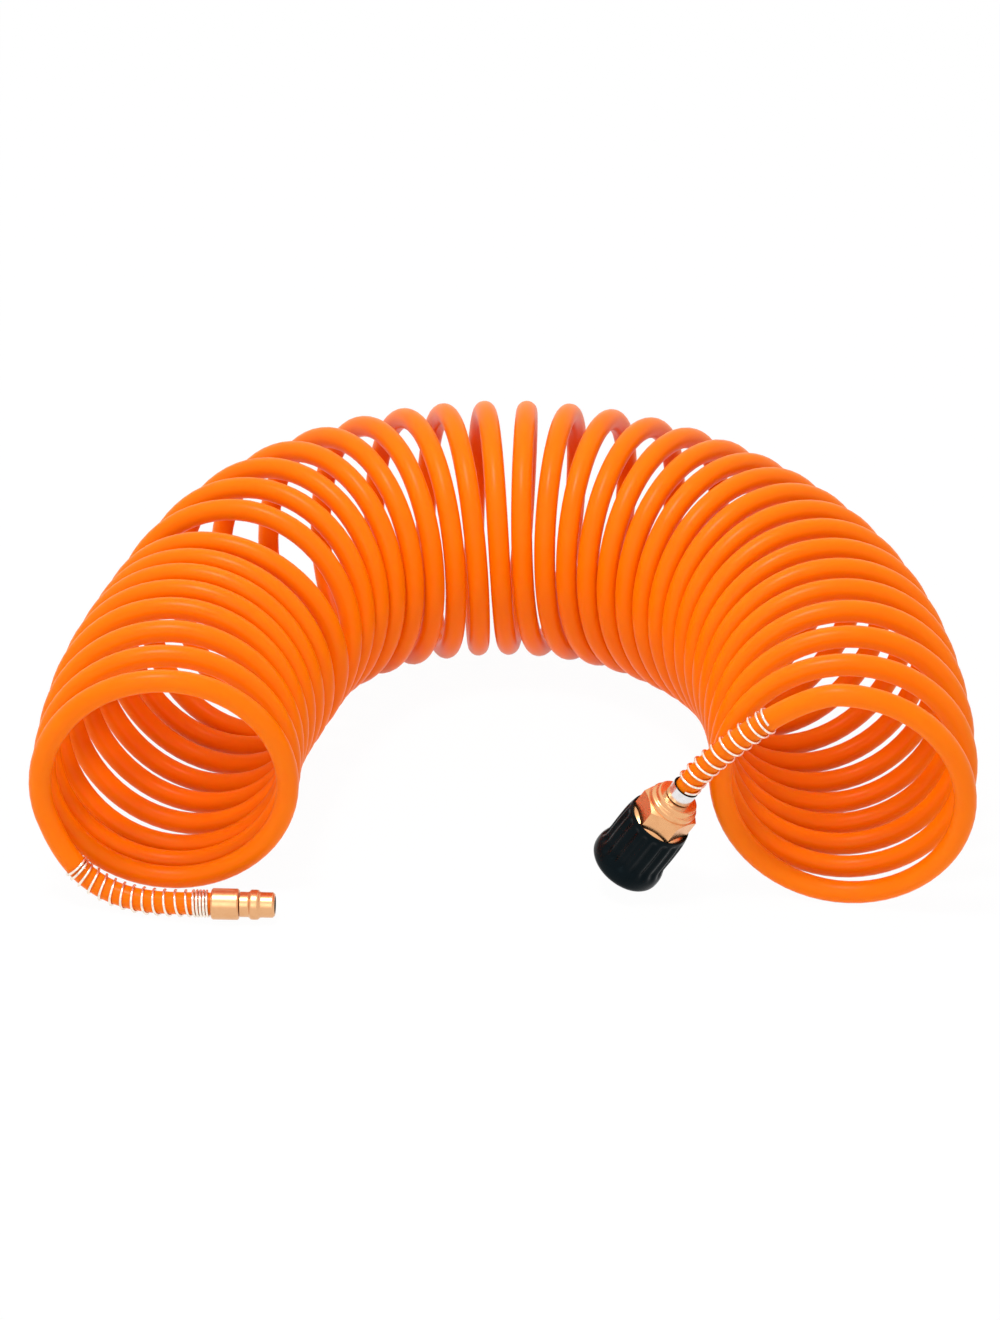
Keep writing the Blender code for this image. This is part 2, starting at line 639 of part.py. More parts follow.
def make_barrel(frame):
    """The barrel with its sockets, grooves and ball holes, and the seal that it holds."""
    counterbore = SHANK_RADIUS + GAP
    groove = BARREL_RADIUS - CIRCLIP_GROOVE_DEPTH
    o_ring_floor = TIP_SOCKET_RADIUS + O_RING_GROOVE_DEPTH
    o_ring_start = O_RING_STATION - O_RING_GROOVE_WIDTH / 2
    o_ring_end = O_RING_STATION + O_RING_GROOVE_WIDTH / 2
    outline = [
        (counterbore, BARREL_START),
        (FLANGE_RADIUS, BARREL_START),
        (FLANGE_RADIUS, FLANGE_END),
        (BARREL_RADIUS, FLANGE_END),
        (BARREL_RADIUS, CIRCLIP_START - GAP / 2),
        (groove, CIRCLIP_START - GAP / 2),
        (groove, CIRCLIP_END + GAP / 2),
        (BARREL_RADIUS, CIRCLIP_END + GAP / 2),
        (BARREL_RADIUS, BARREL_END - MOUTH_CHAMFER),
        (BARREL_RADIUS - MOUTH_CHAMFER, BARREL_END),
        (PLUG_SOCKET_RADIUS + MOUTH_CHAMFER, BARREL_END),
        (PLUG_SOCKET_RADIUS, BARREL_END - MOUTH_CHAMFER),
        (PLUG_SOCKET_RADIUS, TIP_SOCKET_END),
        (TIP_SOCKET_RADIUS, TIP_SOCKET_END),
        (TIP_SOCKET_RADIUS, o_ring_end),
        (o_ring_floor, o_ring_end),
        (o_ring_floor, o_ring_start),
        (TIP_SOCKET_RADIUS, o_ring_start),
        (TIP_SOCKET_RADIUS, THROAT_END),
        (THROAT_RADIUS, THROAT_END),
        (THROAT_RADIUS, COUNTERBORE_END),
        (counterbore, COUNTERBORE_END),
    ]
    barrel = place(
        "coupler_barrel", revolved("coupler_barrel", outline, COUPLER_SIDES), frame, "pale_brass"
    )
    for number in range(BALL_COUNT):
        drill = cylinder(
            f"ball_hole_{number + 1}", BALL_RADIUS + GAP, BALL_CENTRE_RADIUS - BALL_RADIUS,
            BARREL_RADIUS + PAST, BALL_SIDES, ball_lane(number),
        )
        boolean(barrel, cutter(drill.name, drill, frame), "DIFFERENCE")
    middle = o_ring_floor - GAP - O_RING_SECTION
    outline = [
        (middle + O_RING_SECTION * math.cos(turn), O_RING_STATION + O_RING_SECTION * math.sin(turn))
        for turn in np.linspace(0.0, 2.0 * math.pi, O_RING_CORNERS, endpoint=False)
    ]
    place("socket_seal", revolved("socket_seal", outline, STEM_SIDES), frame, "seal_rubber")
    outline = ring_outline(
        groove + GAP, CIRCLIP_OUTER_RADIUS, CIRCLIP_START, CIRCLIP_THICKNESS
    )
    sweep = 2.0 * math.pi - CIRCLIP_OPENING
    mesh = revolved("retaining_ring", outline, COUPLER_SIDES, sweep)
    place("retaining_ring", mesh, frame, "bright_steel")


def ball_lane(number):
    """The turn and shift that lay Z along one ball's outward lane."""
    angle = BALL_LANE_ANGLE + 2.0 * math.pi * number / BALL_COUNT
    about = Matrix.Rotation(angle, 4, "Z") @ Matrix.Rotation(math.pi / 2, 4, "Y")
    return Matrix.Translation((0.0, 0.0, BALL_PLANE)) @ about


def make_balls(frame):
    """The locking balls, each with its origin at its centre."""
    for number in range(BALL_COUNT):
        shape = bmesh.new()
        bmesh.ops.create_uvsphere(
            shape, u_segments=BALL_SIDES, v_segments=BALL_RINGS, radius=BALL_RADIUS
        )
        name = f"locking_ball_{number + 1}"
        centre = ball_lane(number) @ Vector((0.0, 0.0, BALL_CENTRE_RADIUS))
        place(name, mesh_from(shape, name), frame, "bright_steel", centre)


def make_valve(frame):
    """The poppet with its cup and windows, its face seal and its spring."""
    cup = VALVE_STEM_RADIUS - VALVE_STEM_WALL
    cup_floor = VALVE_STEM_END - VALVE_CUP_DEPTH
    outline = [
        (0.0, VALVE_HEAD_START),
        (VALVE_HEAD_RADIUS, VALVE_HEAD_START),
        (VALVE_HEAD_RADIUS, VALVE_HEAD_END),
        (VALVE_STEM_RADIUS, VALVE_HEAD_END),
        (VALVE_STEM_RADIUS, VALVE_STEM_END),
        (cup, VALVE_STEM_END),
        (cup, cup_floor),
        (0.0, cup_floor),
    ]
    poppet = place("valve_poppet", revolved("valve_poppet", outline, STEM_SIDES), frame, "pale_brass")
    window = cup_floor + VALVE_WINDOW_RADIUS + GAP
    for number in range(2):
        across = Matrix.Rotation(math.pi / 2 * number, 4, "Z") @ Matrix.Rotation(math.pi / 2, 4, "Y")
        drill = cylinder(
            f"valve_windows_{number + 1}", VALVE_WINDOW_RADIUS, -CHAMBER_RADIUS, CHAMBER_RADIUS,
            BALL_RINGS, Matrix.Translation((0.0, 0.0, window)) @ across,
        )
        boolean(poppet, cutter(drill.name, drill, frame), "DIFFERENCE")
    outline = ring_outline(
        VALVE_STEM_RADIUS + GAP, VALVE_HEAD_RADIUS, VALVE_SEAL_START, VALVE_SEAL_THICKNESS
    )
    place("valve_seal", revolved("valve_seal", outline, STEM_SIDES), frame, "seal_rubber")
    radius = (CHAMBER_RADIUS + STEM_ROOT) / 2
    make_inner_spring(
        "valve_spring", frame, radius, VALVE_SPRING_WIRE, VALVE_SPRING_COUNT,
        CHAMBER_START, VALVE_HEAD_START,
    )


def make_inner_spring(name, frame, radius, wire, curls, start, end):
    """A spring on a fitting's axis that fills the room between two faces."""
    low = start + GAP + wire / 2
    high = end - GAP - wire / 2
    axis = np.array([(0.0, 0.0, low), (0.0, 0.0, high)])
    pitches = np.full(curls, (high - low) / curls)
    route = wound(axis, radius, pitches, INNER_SPRING_POINTS)
    print(f"{name}: least gap to itself {least_gap(route, wire, INNER_SPRING_POINTS) * 1000:.2f} mm")
    place(name, tube(name, route, wire / 2, BORE_BEVEL_STEPS), frame, "bright_steel")


def make_sleeve(frame):
    """The sleeve's liner and ribbed grip, with the washer and spring behind its shoulder."""
    cone_end = CONE_START + CONE_LENGTH
    cone_start_radius = CONE_RADIUS_AT_BALL - CONE_SLOPE * CONE_LEAD
    cone_end_radius = cone_start_radius + CONE_SLOPE * CONE_LENGTH
    shoulder = BARREL_RADIUS + GAP
    outline = [
        (LINER_REAR_BORE, LINER_START),
        (LINER_REAR_RADIUS, LINER_START),
        (LINER_REAR_RADIUS, LINER_STEP),
        (LINER_FRONT_RADIUS, LINER_STEP),
        (LINER_FRONT_RADIUS, SLEEVE_END),
        (LIP_BORE_RADIUS, SLEEVE_END),
        (LIP_BORE_RADIUS, SLEEVE_END - LIP_LENGTH),
        (cone_end_radius, cone_end),
        (cone_start_radius, CONE_START),
        (shoulder, SHOULDER_END),
        (shoulder, SHOULDER_START),
        (LINER_REAR_BORE, SHOULDER_START),
    ]
    place("sleeve_liner", revolved("sleeve_liner", outline, COUPLER_SIDES), frame, "bright_steel")
    outline = ring_outline(
        BARREL_RADIUS + GAP, LINER_REAR_BORE - GAP, WASHER_START, WASHER_THICKNESS
    )
    place("spring_washer", revolved("spring_washer", outline, COUPLER_SIDES), frame, "bright_steel")
    make_inner_spring(
        "sleeve_spring", frame, (BARREL_RADIUS + LINER_REAR_BORE) / 2, SLEEVE_SPRING_WIRE,
        SLEEVE_SPRING_COUNT, FLANGE_END, WASHER_START,
    )
    make_grip(frame)


def make_grip(frame):
    """The flared rubber grip, its shoulder rounded and its wall drawn in between the ribs."""
    rear_bore = LINER_REAR_RADIUS + GAP
    front_bore = LINER_FRONT_RADIUS + GAP
    step = LINER_STEP - GAP
    shoulder_end = GRIP_START + GRIP_SHOULDER_LENGTH
    flare_end = SLEEVE_END - GRIP_NOSE_LENGTH
    flare_start = flare_end - GRIP_FLARE_LENGTH
    rib_start = shoulder_end + GRIP_RIB_END
    nose_middle = (GRIP_FLARE_RADIUS * 2 + GRIP_NOSE_RADIUS) / 3
    shoulder_middle = (GRIP_WAIST_RADIUS * 2 + GRIP_REAR_RADIUS) / 3
    outline = [
        (GRIP_HEX_BORE, GRIP_START),
        (GRIP_REAR_RADIUS, GRIP_START),
        (shoulder_middle, (GRIP_START + shoulder_end) / 2),
        (GRIP_WAIST_RADIUS, shoulder_end),
        (GRIP_WAIST_RADIUS, rib_start - GRIP_RIB_DEPTH),
        (GRIP_WAIST_RADIUS, rib_start),
        (GRIP_WAIST_RADIUS, flare_start),
        ((GRIP_WAIST_RADIUS + GRIP_FLARE_RADIUS) / 2, (flare_start + flare_end) / 2),
        (GRIP_FLARE_RADIUS, flare_end),
        (nose_middle, (flare_end + SLEEVE_END) / 2),
        (GRIP_NOSE_RADIUS, SLEEVE_END),
        (front_bore, SLEEVE_END),
        (front_bore, step),
        (rear_bore, step),
        (rear_bore, LINER_START),
        (GRIP_HEX_BORE, LINER_START),
    ]
    mesh = revolved("sleeve_grip", outline, 2 * GRIP_RIB_COUNT)
    for vertex in mesh.vertices:
        radius = math.hypot(vertex.co.x, vertex.co.y)
        column = round(math.atan2(vertex.co.y, vertex.co.x) / (math.pi / GRIP_RIB_COUNT))
        ribbed = rib_start - WELD < vertex.co.z < flare_end - WELD
        if radius > GRIP_HEX_BORE + WELD and ribbed and column % 2:
            drawn_in = (radius - GRIP_RIB_DEPTH) / radius
            vertex.co.x *= drawn_in
            vertex.co.y *= drawn_in
    place("sleeve_grip", mesh, frame, "black_rubber")


# ---- Hose and guard springs ----------------------------------------------------------
def make_guard(name, matrix, hose, root, pitches):
    """A guard spring wound round the hose from just behind a ferrule."""
    start = along(matrix, -GAP - GUARD_WIRE / 2)
    centre = np.concatenate([[start], hose[1:]])
    route = wound(centre, GUARD_RADIUS, pitches, GUARD_POINTS)
    print(f"{name}: least gap to itself {least_gap(route, GUARD_WIRE, GUARD_POINTS) * 1000:.2f} mm")
    place(name, tube(name, route, GUARD_WIRE / 2, BORE_BEVEL_STEPS), root, "bright_steel")


def make_hose(root, route, plug, coupler, ground):
    """The hose: a tube with its bore cut out, bored round at both ends and flat below."""
    print(f"hose: least gap to itself {least_gap(route, HOSE_OD, COIL_POINTS) * 1000:.2f} mm")
    print(f"hose: {np.linalg.norm(np.diff(route, axis=0), axis=1).sum():.2f} m of polyline")
    hose = place("hose", tube("hose", route, HOSE_OD / 2, HOSE_BEVEL_STEPS), root, "hose_orange")
    past = [route[0] - unit(route[1] - route[0]) * PAST]
    beyond = [route[-1] + unit(route[-1] - route[-2]) * PAST]
    bored = np.concatenate([past, route, beyond])
    bore = tube("hose_bore", bored, HOSE_BORE / 2 - BORE_INSET, BORE_BEVEL_STEPS)
    boolean(hose, cutter("hose_bore", bore, root), "DIFFERENCE")
    for name, frame, stem_start, hose_end in (
        ("plug_end_bore", plug, PLUG_STEM_START, PLUG_HOSE_END),
        ("coupler_end_bore", coupler, COUPLER_STEM_START, COUPLER_HOSE_END),
    ):
        drill = cylinder(
            name, HOSE_BORE / 2, stem_start - STRAIGHT_PAST_STEM / 2, hose_end + PAST, END_BORE_SIDES
        )
        boolean(hose, cutter(name, drill, frame), "DIFFERENCE")
    slab = bmesh.new()
    bmesh.ops.create_cube(slab, size=1.0)
    bmesh.ops.translate(slab, verts=slab.verts, vec=(0.0, 0.0, ground - 0.5))
    boolean(hose, cutter("ground", mesh_from(slab, "ground"), root), "DIFFERENCE")


def settle(root, ground):
    """Move the whole part so that its origin is at the middle of its footprint."""
    bpy.context.view_layer.update()
    graph = bpy.context.evaluated_depsgraph_get()
    corners = [
        piece.matrix_world @ Vector(corner)
        for piece in bpy.context.scene.objects
        if piece.type == "MESH" and not piece.hide_render
        for corner in piece.evaluated_get(graph).bound_box
    ]
    low_x, high_x = min(c.x for c in corners), max(c.x for c in corners)
    low_y, high_y = min(c.y for c in corners), max(c.y for c in corners)
    root.location = (-(low_x + high_x) / 2, -(low_y + high_y) / 2, -ground)
    bpy.context.view_layer.update()


def main():
    """Build the whole part."""
    clear_scene()
    root = empty("air_hose")
    coil, first, last = coil_route()
    ground = FLAT_SHARE * HOSE_OD
    spot = Vector(coil[0]) + PLUG_FROM_COIL
    spot.z = ground + LIFT + PLUG_FERRULE_RADIUS
    plug_matrix = fitting_matrix(spot, PLUG_HEADING, 0.0)
    spot = Vector(coil[-1]) + COUPLER_FROM_COIL
    coupler_matrix = fitting_matrix(spot, COUPLER_HEADING, COUPLER_SLOPE)
    plug = empty("plug_frame", root, plug_matrix)
    coupler = empty("coupler_frame", root, coupler_matrix)
    plug_tail = tail(
        plug_matrix, PLUG_HOSE_END, PLUG_STEM_START, coil[0], -first, PLUG_TAIL_HANDLES
    )
    coupler_tail = tail(
        coupler_matrix, COUPLER_HOSE_END, COUPLER_STEM_START, coil[-1], last,
        COUPLER_TAIL_HANDLES,
    )
    make_plug(plug)
    make_adaptor(coupler)
    make_barrel(coupler)
    make_balls(coupler)
    make_valve(coupler)
    make_sleeve(coupler)
    from_plug = np.concatenate([plug_tail, coil])
    make_guard("plug_guard_spring", plug_matrix, from_plug, root, PLUG_GUARD_PITCHES)
    from_coupler = np.concatenate([coupler_tail, coil[::-1]])
    make_guard("coupler_guard_spring", coupler_matrix, from_coupler, root, COUPLER_GUARD_PITCHES)
    route = np.concatenate([from_plug, coupler_tail[::-1]])
    make_hose(root, route, plug, coupler, ground)
    settle(root, ground)


if __name__ == "__main__":
    main()
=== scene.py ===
"""Looks of the coiled air hose: its coil, guard springs, plug and quick coupler, and the studio.

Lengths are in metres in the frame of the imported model, +Z up, but for the fittings' outlines,
which are in millimetres. The hose's route and the two fittings' axes repeat the ones of the
part's source. Each fitting has its own axis, with its heights measured from its ferrule's rear
rim towards its free end.
"""

from __future__ import annotations

import logging
import math
from collections.abc import Iterable, Sequence
from dataclasses import dataclass, field
from enum import Enum

import bmesh
import bpy
import numpy as np
from mathutils import Matrix, Vector

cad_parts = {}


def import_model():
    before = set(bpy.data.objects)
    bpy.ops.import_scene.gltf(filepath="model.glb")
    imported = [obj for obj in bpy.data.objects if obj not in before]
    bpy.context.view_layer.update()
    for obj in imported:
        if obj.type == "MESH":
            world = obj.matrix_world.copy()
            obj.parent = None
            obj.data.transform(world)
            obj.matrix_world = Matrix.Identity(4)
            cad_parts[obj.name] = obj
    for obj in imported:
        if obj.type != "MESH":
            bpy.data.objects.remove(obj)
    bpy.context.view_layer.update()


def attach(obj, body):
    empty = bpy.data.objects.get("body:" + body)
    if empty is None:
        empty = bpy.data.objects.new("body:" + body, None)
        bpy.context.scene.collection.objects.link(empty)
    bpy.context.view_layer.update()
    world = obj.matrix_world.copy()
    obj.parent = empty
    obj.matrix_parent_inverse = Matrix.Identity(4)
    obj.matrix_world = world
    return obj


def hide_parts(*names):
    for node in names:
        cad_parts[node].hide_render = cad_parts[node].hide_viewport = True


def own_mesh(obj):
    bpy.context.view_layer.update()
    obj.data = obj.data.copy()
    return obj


LOG = logging.getLogger("air_hose")
MM = 0.001
WELD = 0.000001
# The share of a side that the rounding of one of its corners may take.
MOST_ROUNDED = 0.45
SPRING_RESOLUTION = 3
# Where a guard spring starts behind its ferrule's rim, and the points of the hose that guide it.
GUARD_START = -0.75 * MM
GUARD_POINTS = 120
Corner = tuple[float, float, float]


class Body(str, Enum):
    """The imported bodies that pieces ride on."""

    BASE = "hose_and_fittings"
    WASHER = "sleeve_washer"
    SLEEVE = "sleeve"
    VALVE = "valve"
    BALL_1 = "ball_1"
    BALL_2 = "ball_2"
    BALL_3 = "ball_3"
    BALL_4 = "ball_4"


class Slot(str, Enum):
    """The record's material slots."""

    HOSE = "hose"
    BRASS = "brass"
    STEEL = "steel"
    GRIP = "grip"
    SEAL = "seal"


# ---- Nodes and colours ---------------------------------------------------------------
def linear(code: str) -> tuple[float, float, float, float]:
    """Turn an sRGB hex colour into the linear one that a shader takes.

    Args:
        code: The colour, such as "#FF6A00".

    Returns:
        Red, green, blue and an alpha of 1.
    """
    parts = [int(code[at : at + 2], 16) / 255 for at in (1, 3, 5)]
    low = [part / 12.92 if part <= 0.04045 else ((part + 0.055) / 1.055) ** 2.4 for part in parts]
    return (low[0], low[1], low[2], 1.0)


def add(
    tree: bpy.types.NodeTree, kind: str, inputs: dict | None = None, **settings
) -> bpy.types.Node:
    """Add a node with its settings, values and links.

    Args:
        tree: The node tree that takes it.
        kind: The node's type name, without its ShaderNode.
        inputs: A value or a socket to link for each input, by name or number.
        **settings: Properties of the node itself.

    Returns:
        The new node.
    """
    made = tree.nodes.new("ShaderNode" + kind)
    for name, value in settings.items():
        setattr(made, name, value)
    for key, value in (inputs or {}).items():
        if isinstance(value, bpy.types.NodeSocket):
            tree.links.new(value, made.inputs[key])
        else:
            made.inputs[key].default_value = value
    return made


def sees_white(tree: bpy.types.NodeTree) -> bpy.types.NodeSocket:
    """Pick out the rays that see the studio white: the camera's, and those of metal and glass.

    Args:
        tree: The node tree that takes the nodes.

    Returns:
        The socket that is 1 for such a ray, and 0 for one that gathers light.
    """
    path = add(tree, "LightPath")
    seen = path.outputs["Is Camera Ray"]
    for kind in ("Is Glossy Ray", "Is Transmission Ray"):
        seen = add(tree, "Math", {0: seen, 1: path.outputs[kind]}, operation="MAXIMUM").outputs[0]
    return seen


# ---- Finishes ------------------------------------------------------------------------
class Finish:
    """A surface finish, which dresses a piece in a material of its own."""

    def shader(self, tree: bpy.types.NodeTree) -> bpy.types.Node:
        """Build the finish's own nodes, up to its shader."""
        raise NotImplementedError

    def dress(self, name: str) -> bpy.types.Material:
        """Build the material.

        Args:
            name: The material's name.

        Returns:
            The material.
        """
        material = bpy.data.materials.new(name)
        material.use_nodes = True
        tree = material.node_tree
        tree.nodes.clear()
        add(tree, "OutputMaterial", {"Surface": self.shader(tree).outputs[0]})
        return material


@dataclass(frozen=True)
class ExtrudedPolyurethane(Finish):
    """Satin polyurethane hose, extruded: soft wide highlights, light that sinks a little into
    the wall and comes back redder, faint lines drawn along it by the die, and a light bloom.
    The die's lines and the grain are coarser than real ones, so that they show."""

    colour: str = "#FF7200"
    pale: str = "#FF8000"
    deep: str = "#FF6B00"
    roughness: float = 0.33
    die_line: float = 0.9 * MM
    cloud: float = 22 * MM
    grain: float = 1.2 * MM

    def shader(self, tree: bpy.types.NodeTree) -> bpy.types.Node:
        """Build the nodes, which read the hose's own straightened coordinates.

        Args:
            tree: The material's node tree.

        Returns:
            The shader.
        """
        skin = add(tree, "Attribute", attribute_name="straightened")
        drawn = add(tree, "Mapping", {0: skin.outputs["Vector"], "Scale": (1, 1, 0.012)})
        lines = add(
            tree, "TexNoise",
            {"Vector": drawn.outputs[0], "Scale": 1 / self.die_line, "Detail": 3.0},
        )
        bloom = add(
            tree, "TexNoise",
            {"Vector": skin.outputs["Vector"], "Scale": 1 / self.cloud, "Detail": 4.0},
        )
        grain = add(
            tree, "TexNoise",
            {"Vector": skin.outputs["Vector"], "Scale": 1 / self.grain, "Detail": 2.0},
        )
        tone = add(
            tree, "Mix",
            {0: bloom.outputs["Fac"], 6: linear(self.deep), 7: linear(self.pale)},
            data_type="RGBA",
        )
        even = add(
            tree, "Mix", {0: 0.45, 6: linear(self.colour), 7: tone.outputs[2]}, data_type="RGBA"
        )
        gloss = add(
            tree, "MapRange",
            {"Value": bloom.outputs["Fac"], "From Min": 0.3, "From Max": 0.7,
             "To Min": self.roughness - 0.03, "To Max": self.roughness + 0.04},
        )
        height = add(
            tree, "Math", {0: grain.outputs["Fac"], 1: 0.15, 2: lines.outputs["Fac"]},
            operation="MULTIPLY_ADD",
        )
        relief = add(
            tree, "Bump", {"Strength": 0.15, "Distance": 0.03 * MM, "Height": height.outputs[0]}
        )
        return add(
            tree, "BsdfPrincipled",
            {"Base Color": even.outputs[2], "Roughness": gloss.outputs[0], "IOR": 1.5,
             "Subsurface Weight": 0.55, "Subsurface Radius": (1.0, 0.55, 0.05),
             "Subsurface Scale": 4.0 * MM, "Specular IOR Level": 0.10,
             "Normal": relief.outputs[0]},
        )


@dataclass(frozen=True)
class TurnedMetal(Finish):
    """Metal turned on a lathe: fine rings round its axis, a slightly uneven sheen and a few
    handling marks. Brass is pale and warm, steel grey and brighter. The steel cup has a line
    of painted shade at its rear rim, where the hose goes in, and the plug's bore has painted shade.
    The rings that the tool leaves are coarser than real ones, so that they show."""

    colour: str
    dull: str
    roughness: float
    axis: Matrix
    # Painted shade: surfaces behind rim and inside bore take the shade colour below.
    rim: float = -1.0
    bore: float = 0.0
    ring: float = 0.45 * MM
    relief: float = 0.0025 * MM
    worn: float = 3 * MM
    # The colour of the painted shade at the rear rim and in the bore.
    painted_shade: str = "#1B1612"

    def shader(self, tree: bpy.types.NodeTree) -> bpy.types.Node:
        """Build the nodes, its pattern laid about the fitting's axis.

        Args:
            tree: The material's node tree.

        Returns:
            The shader.
        """
        place, turn, _ = self.axis.decompose()
        where = add(tree, "TexCoord")
        local = add(
            tree, "Mapping",
            {0: where.outputs["Object"], "Location": place, "Rotation": turn.to_euler()},
            vector_type="TEXTURE",
        )
        parts = add(tree, "SeparateXYZ", {0: local.outputs[0]})
        flat = add(tree, "CombineXYZ", {0: parts.outputs[0], 1: parts.outputs[1]})
        radius = add(tree, "VectorMath", {0: flat.outputs[0]}, operation="LENGTH")
        lathe = add(tree, "CombineXYZ", {0: radius.outputs["Value"], 2: parts.outputs[2]})
        rings = add(
            tree, "TexNoise", {"Vector": lathe.outputs[0], "Scale": 1 / self.ring, "Detail": 4.0}
        )
        marks = add(
            tree, "TexNoise",
            {"Vector": local.outputs[0], "Scale": 1 / self.worn, "Detail": 5.0, "Roughness": 0.6},
        )
        spot = add(
            tree, "MapRange", {"Value": marks.outputs["Fac"], "From Min": 0.50, "From Max": 0.95}
        )
        tone = add(
            tree, "Mix", {0: spot.outputs[0], 6: linear(self.colour), 7: linear(self.dull)},
            data_type="RGBA",
        )
        # Painted shade: the rear rim and the bore are darkened to the shade colour.
        behind = add(tree, "Math", {0: parts.outputs[2], 1: self.rim}, operation="LESS_THAN")
        within = add(
            tree, "Math", {0: radius.outputs["Value"], 1: self.bore}, operation="LESS_THAN"
        )
        dark = add(tree, "Math", {0: behind.outputs[0], 1: within.outputs[0]}, operation="MAXIMUM")
        with_painted_shade = add(
            tree, "Mix",
            {0: dark.outputs[0], 6: tone.outputs[2], 7: linear(self.painted_shade)}, data_type="RGBA",
        )
        sheen = add(
            tree, "Math", {0: rings.outputs["Fac"], 1: marks.outputs["Fac"]}, operation="MULTIPLY"
        )
        gloss = add(
            tree, "MapRange",
            {"Value": sheen.outputs[0], "From Min": 0.1, "From Max": 0.4,
             "To Min": self.roughness - 0.04, "To Max": self.roughness + 0.08},
        )
        relief = add(
            tree, "Bump", {"Strength": 0.6, "Distance": self.relief, "Height": rings.outputs["Fac"]}
        )
        return add(
            tree, "BsdfPrincipled",
            {"Base Color": with_painted_shade.outputs[2], "Metallic": 1.0, "Roughness": gloss.outputs[0],
             "Normal": relief.outputs[0]},
        )


@dataclass(frozen=True)
class DrawnSteelWire(Finish):
    """Bright spring wire, drawn and plated: clean highlights with a faint uneven haze, which
    is coarser than a real one, so that it shows."""

    colour: str = "#FFF2E2"
    dull: str = "#DAD2C6"
    roughness: float = 0.20
    haze: float = 1.4 * MM

    def shader(self, tree: bpy.types.NodeTree) -> bpy.types.Node:
        """Build the nodes.

        Args:
            tree: The material's node tree.

        Returns:
            The shader.
        """
        where = add(tree, "TexCoord")
        haze = add(
            tree, "TexNoise",
            {"Vector": where.outputs["Object"], "Scale": 1 / self.haze, "Detail": 3.0},
        )
        spot = add(
            tree, "MapRange", {"Value": haze.outputs["Fac"], "From Min": 0.45, "From Max": 0.8}
        )
        tone = add(
            tree, "Mix", {0: spot.outputs[0], 6: linear(self.colour), 7: linear(self.dull)},
            data_type="RGBA",
        )
        gloss = add(
            tree, "MapRange",
            {"Value": haze.outputs["Fac"], "To Min": self.roughness - 0.06,
             "To Max": self.roughness + 0.10},
        )
        return add(
            tree, "BsdfPrincipled",
            {"Base Color": tone.outputs[2], "Metallic": 1.0, "Roughness": gloss.outputs[0]},
        )


@dataclass(frozen=True)
class MouldedRubber(Finish):
    """Black moulded rubber: a matt skin with a fine spark-eroded grain and a cold, bluish
    sheen where the light grazes it. The grain is coarser than a real one, so that it shows.
    A seal is the same without the tint."""

    colour: str = "#020405"
    pale: str = "#070D10"
    roughness: float = 0.28
    sheen: float = 0.10
    tint: str = "#B9E0F0"
    grain: float = 0.30 * MM
    relief: float = 0.012 * MM
    rubbed: float = 6 * MM

    def shader(self, tree: bpy.types.NodeTree) -> bpy.types.Node:
        """Build the nodes.

        Args:
            tree: The material's node tree.

        Returns:
            The shader.
        """
        where = add(tree, "TexCoord")
        grain = add(
            tree, "TexNoise",
            {"Vector": where.outputs["Object"], "Scale": 1 / self.grain, "Detail": 2.0},
        )
        rubbed = add(
            tree, "TexNoise",
            {"Vector": where.outputs["Object"], "Scale": 1 / self.rubbed, "Detail": 4.0},
        )
        tone = add(
            tree, "Mix",
            {0: rubbed.outputs["Fac"], 6: linear(self.colour), 7: linear(self.pale)},
            data_type="RGBA",
        )
        gloss = add(
            tree, "MapRange",
            {"Value": rubbed.outputs["Fac"], "From Min": 0.3, "From Max": 0.7,
             "To Min": self.roughness - 0.06, "To Max": self.roughness + 0.08},
        )
        relief = add(
            tree, "Bump", {"Strength": 0.5, "Distance": self.relief, "Height": grain.outputs["Fac"]}
        )
        return add(
            tree, "BsdfPrincipled",
            {"Base Color": tone.outputs[2], "Roughness": gloss.outputs[0], "IOR": 1.5,
             "Specular IOR Level": self.sheen, "Specular Tint": linear(self.tint),
             "Normal": relief.outputs[0]},
        )


@dataclass(frozen=True)
class PaintedFloor(Finish):
    """Matt white studio paint, which shows as plain white and keeps a faint shadow."""

    colour: str = "#F2F2F2"
    own_white: float = 0.97

    def shader(self, tree: bpy.types.NodeTree) -> bpy.types.Node:
        """Build the nodes: white to the eye and in reflections, plain paint to the light.

        Args:
            tree: The material's node tree.

        Returns:
            The shader.
        """
        share = add(tree, "Math", {0: sees_white(tree), 1: self.own_white}, operation="MULTIPLY")
        paint = add(
            tree, "BsdfPrincipled",
            {"Base Color": linear(self.colour), "Roughness": 0.9, "Specular IOR Level": 0.0},
        )
        white = add(tree, "Emission", {"Color": (1, 1, 1, 1), "Strength": 1.0})
        return add(
            tree, "MixShader", {0: share.outputs[0], 1: paint.outputs[0], 2: white.outputs[0]}
        )


# ---- Shaping -------------------------------------------------------------------------
def filleted(corners: Iterable[Corner], steps: int = 4) -> list[tuple[float, float]]:
    """Round the corners of a closed outline.

    Args:
        corners: Radius, height and how far from the corner its rounding starts, for each, in mm.
        steps: Straight steps in each rounding.

    Returns:
        The outline's radius and height at each point, in metres.
    """
    rows = [tuple(size * MM for size in corner) for corner in corners]
    outline: list[tuple[float, float]] = []
    for number, (radius, height, cut) in enumerate(rows):
        here = Vector((radius, height))
        before = Vector(rows[number - 1][:2]) - here
        after = Vector(rows[(number + 1) % len(rows)][:2]) - here
        reach = min(cut, MOST_ROUNDED * before.length, MOST_ROUNDED * after.length)
        if reach < WELD:
            outline.append((radius, height))
            continue
        start, end = here + before.normalized() * reach, here + after.normalized() * reach
        for step in range(steps + 1):
            share = step / steps
            spot = start * (1 - share) ** 2 + here * 2 * share * (1 - share) + end * share**2
            outline.append((spot.x, spot.y))
    return outline


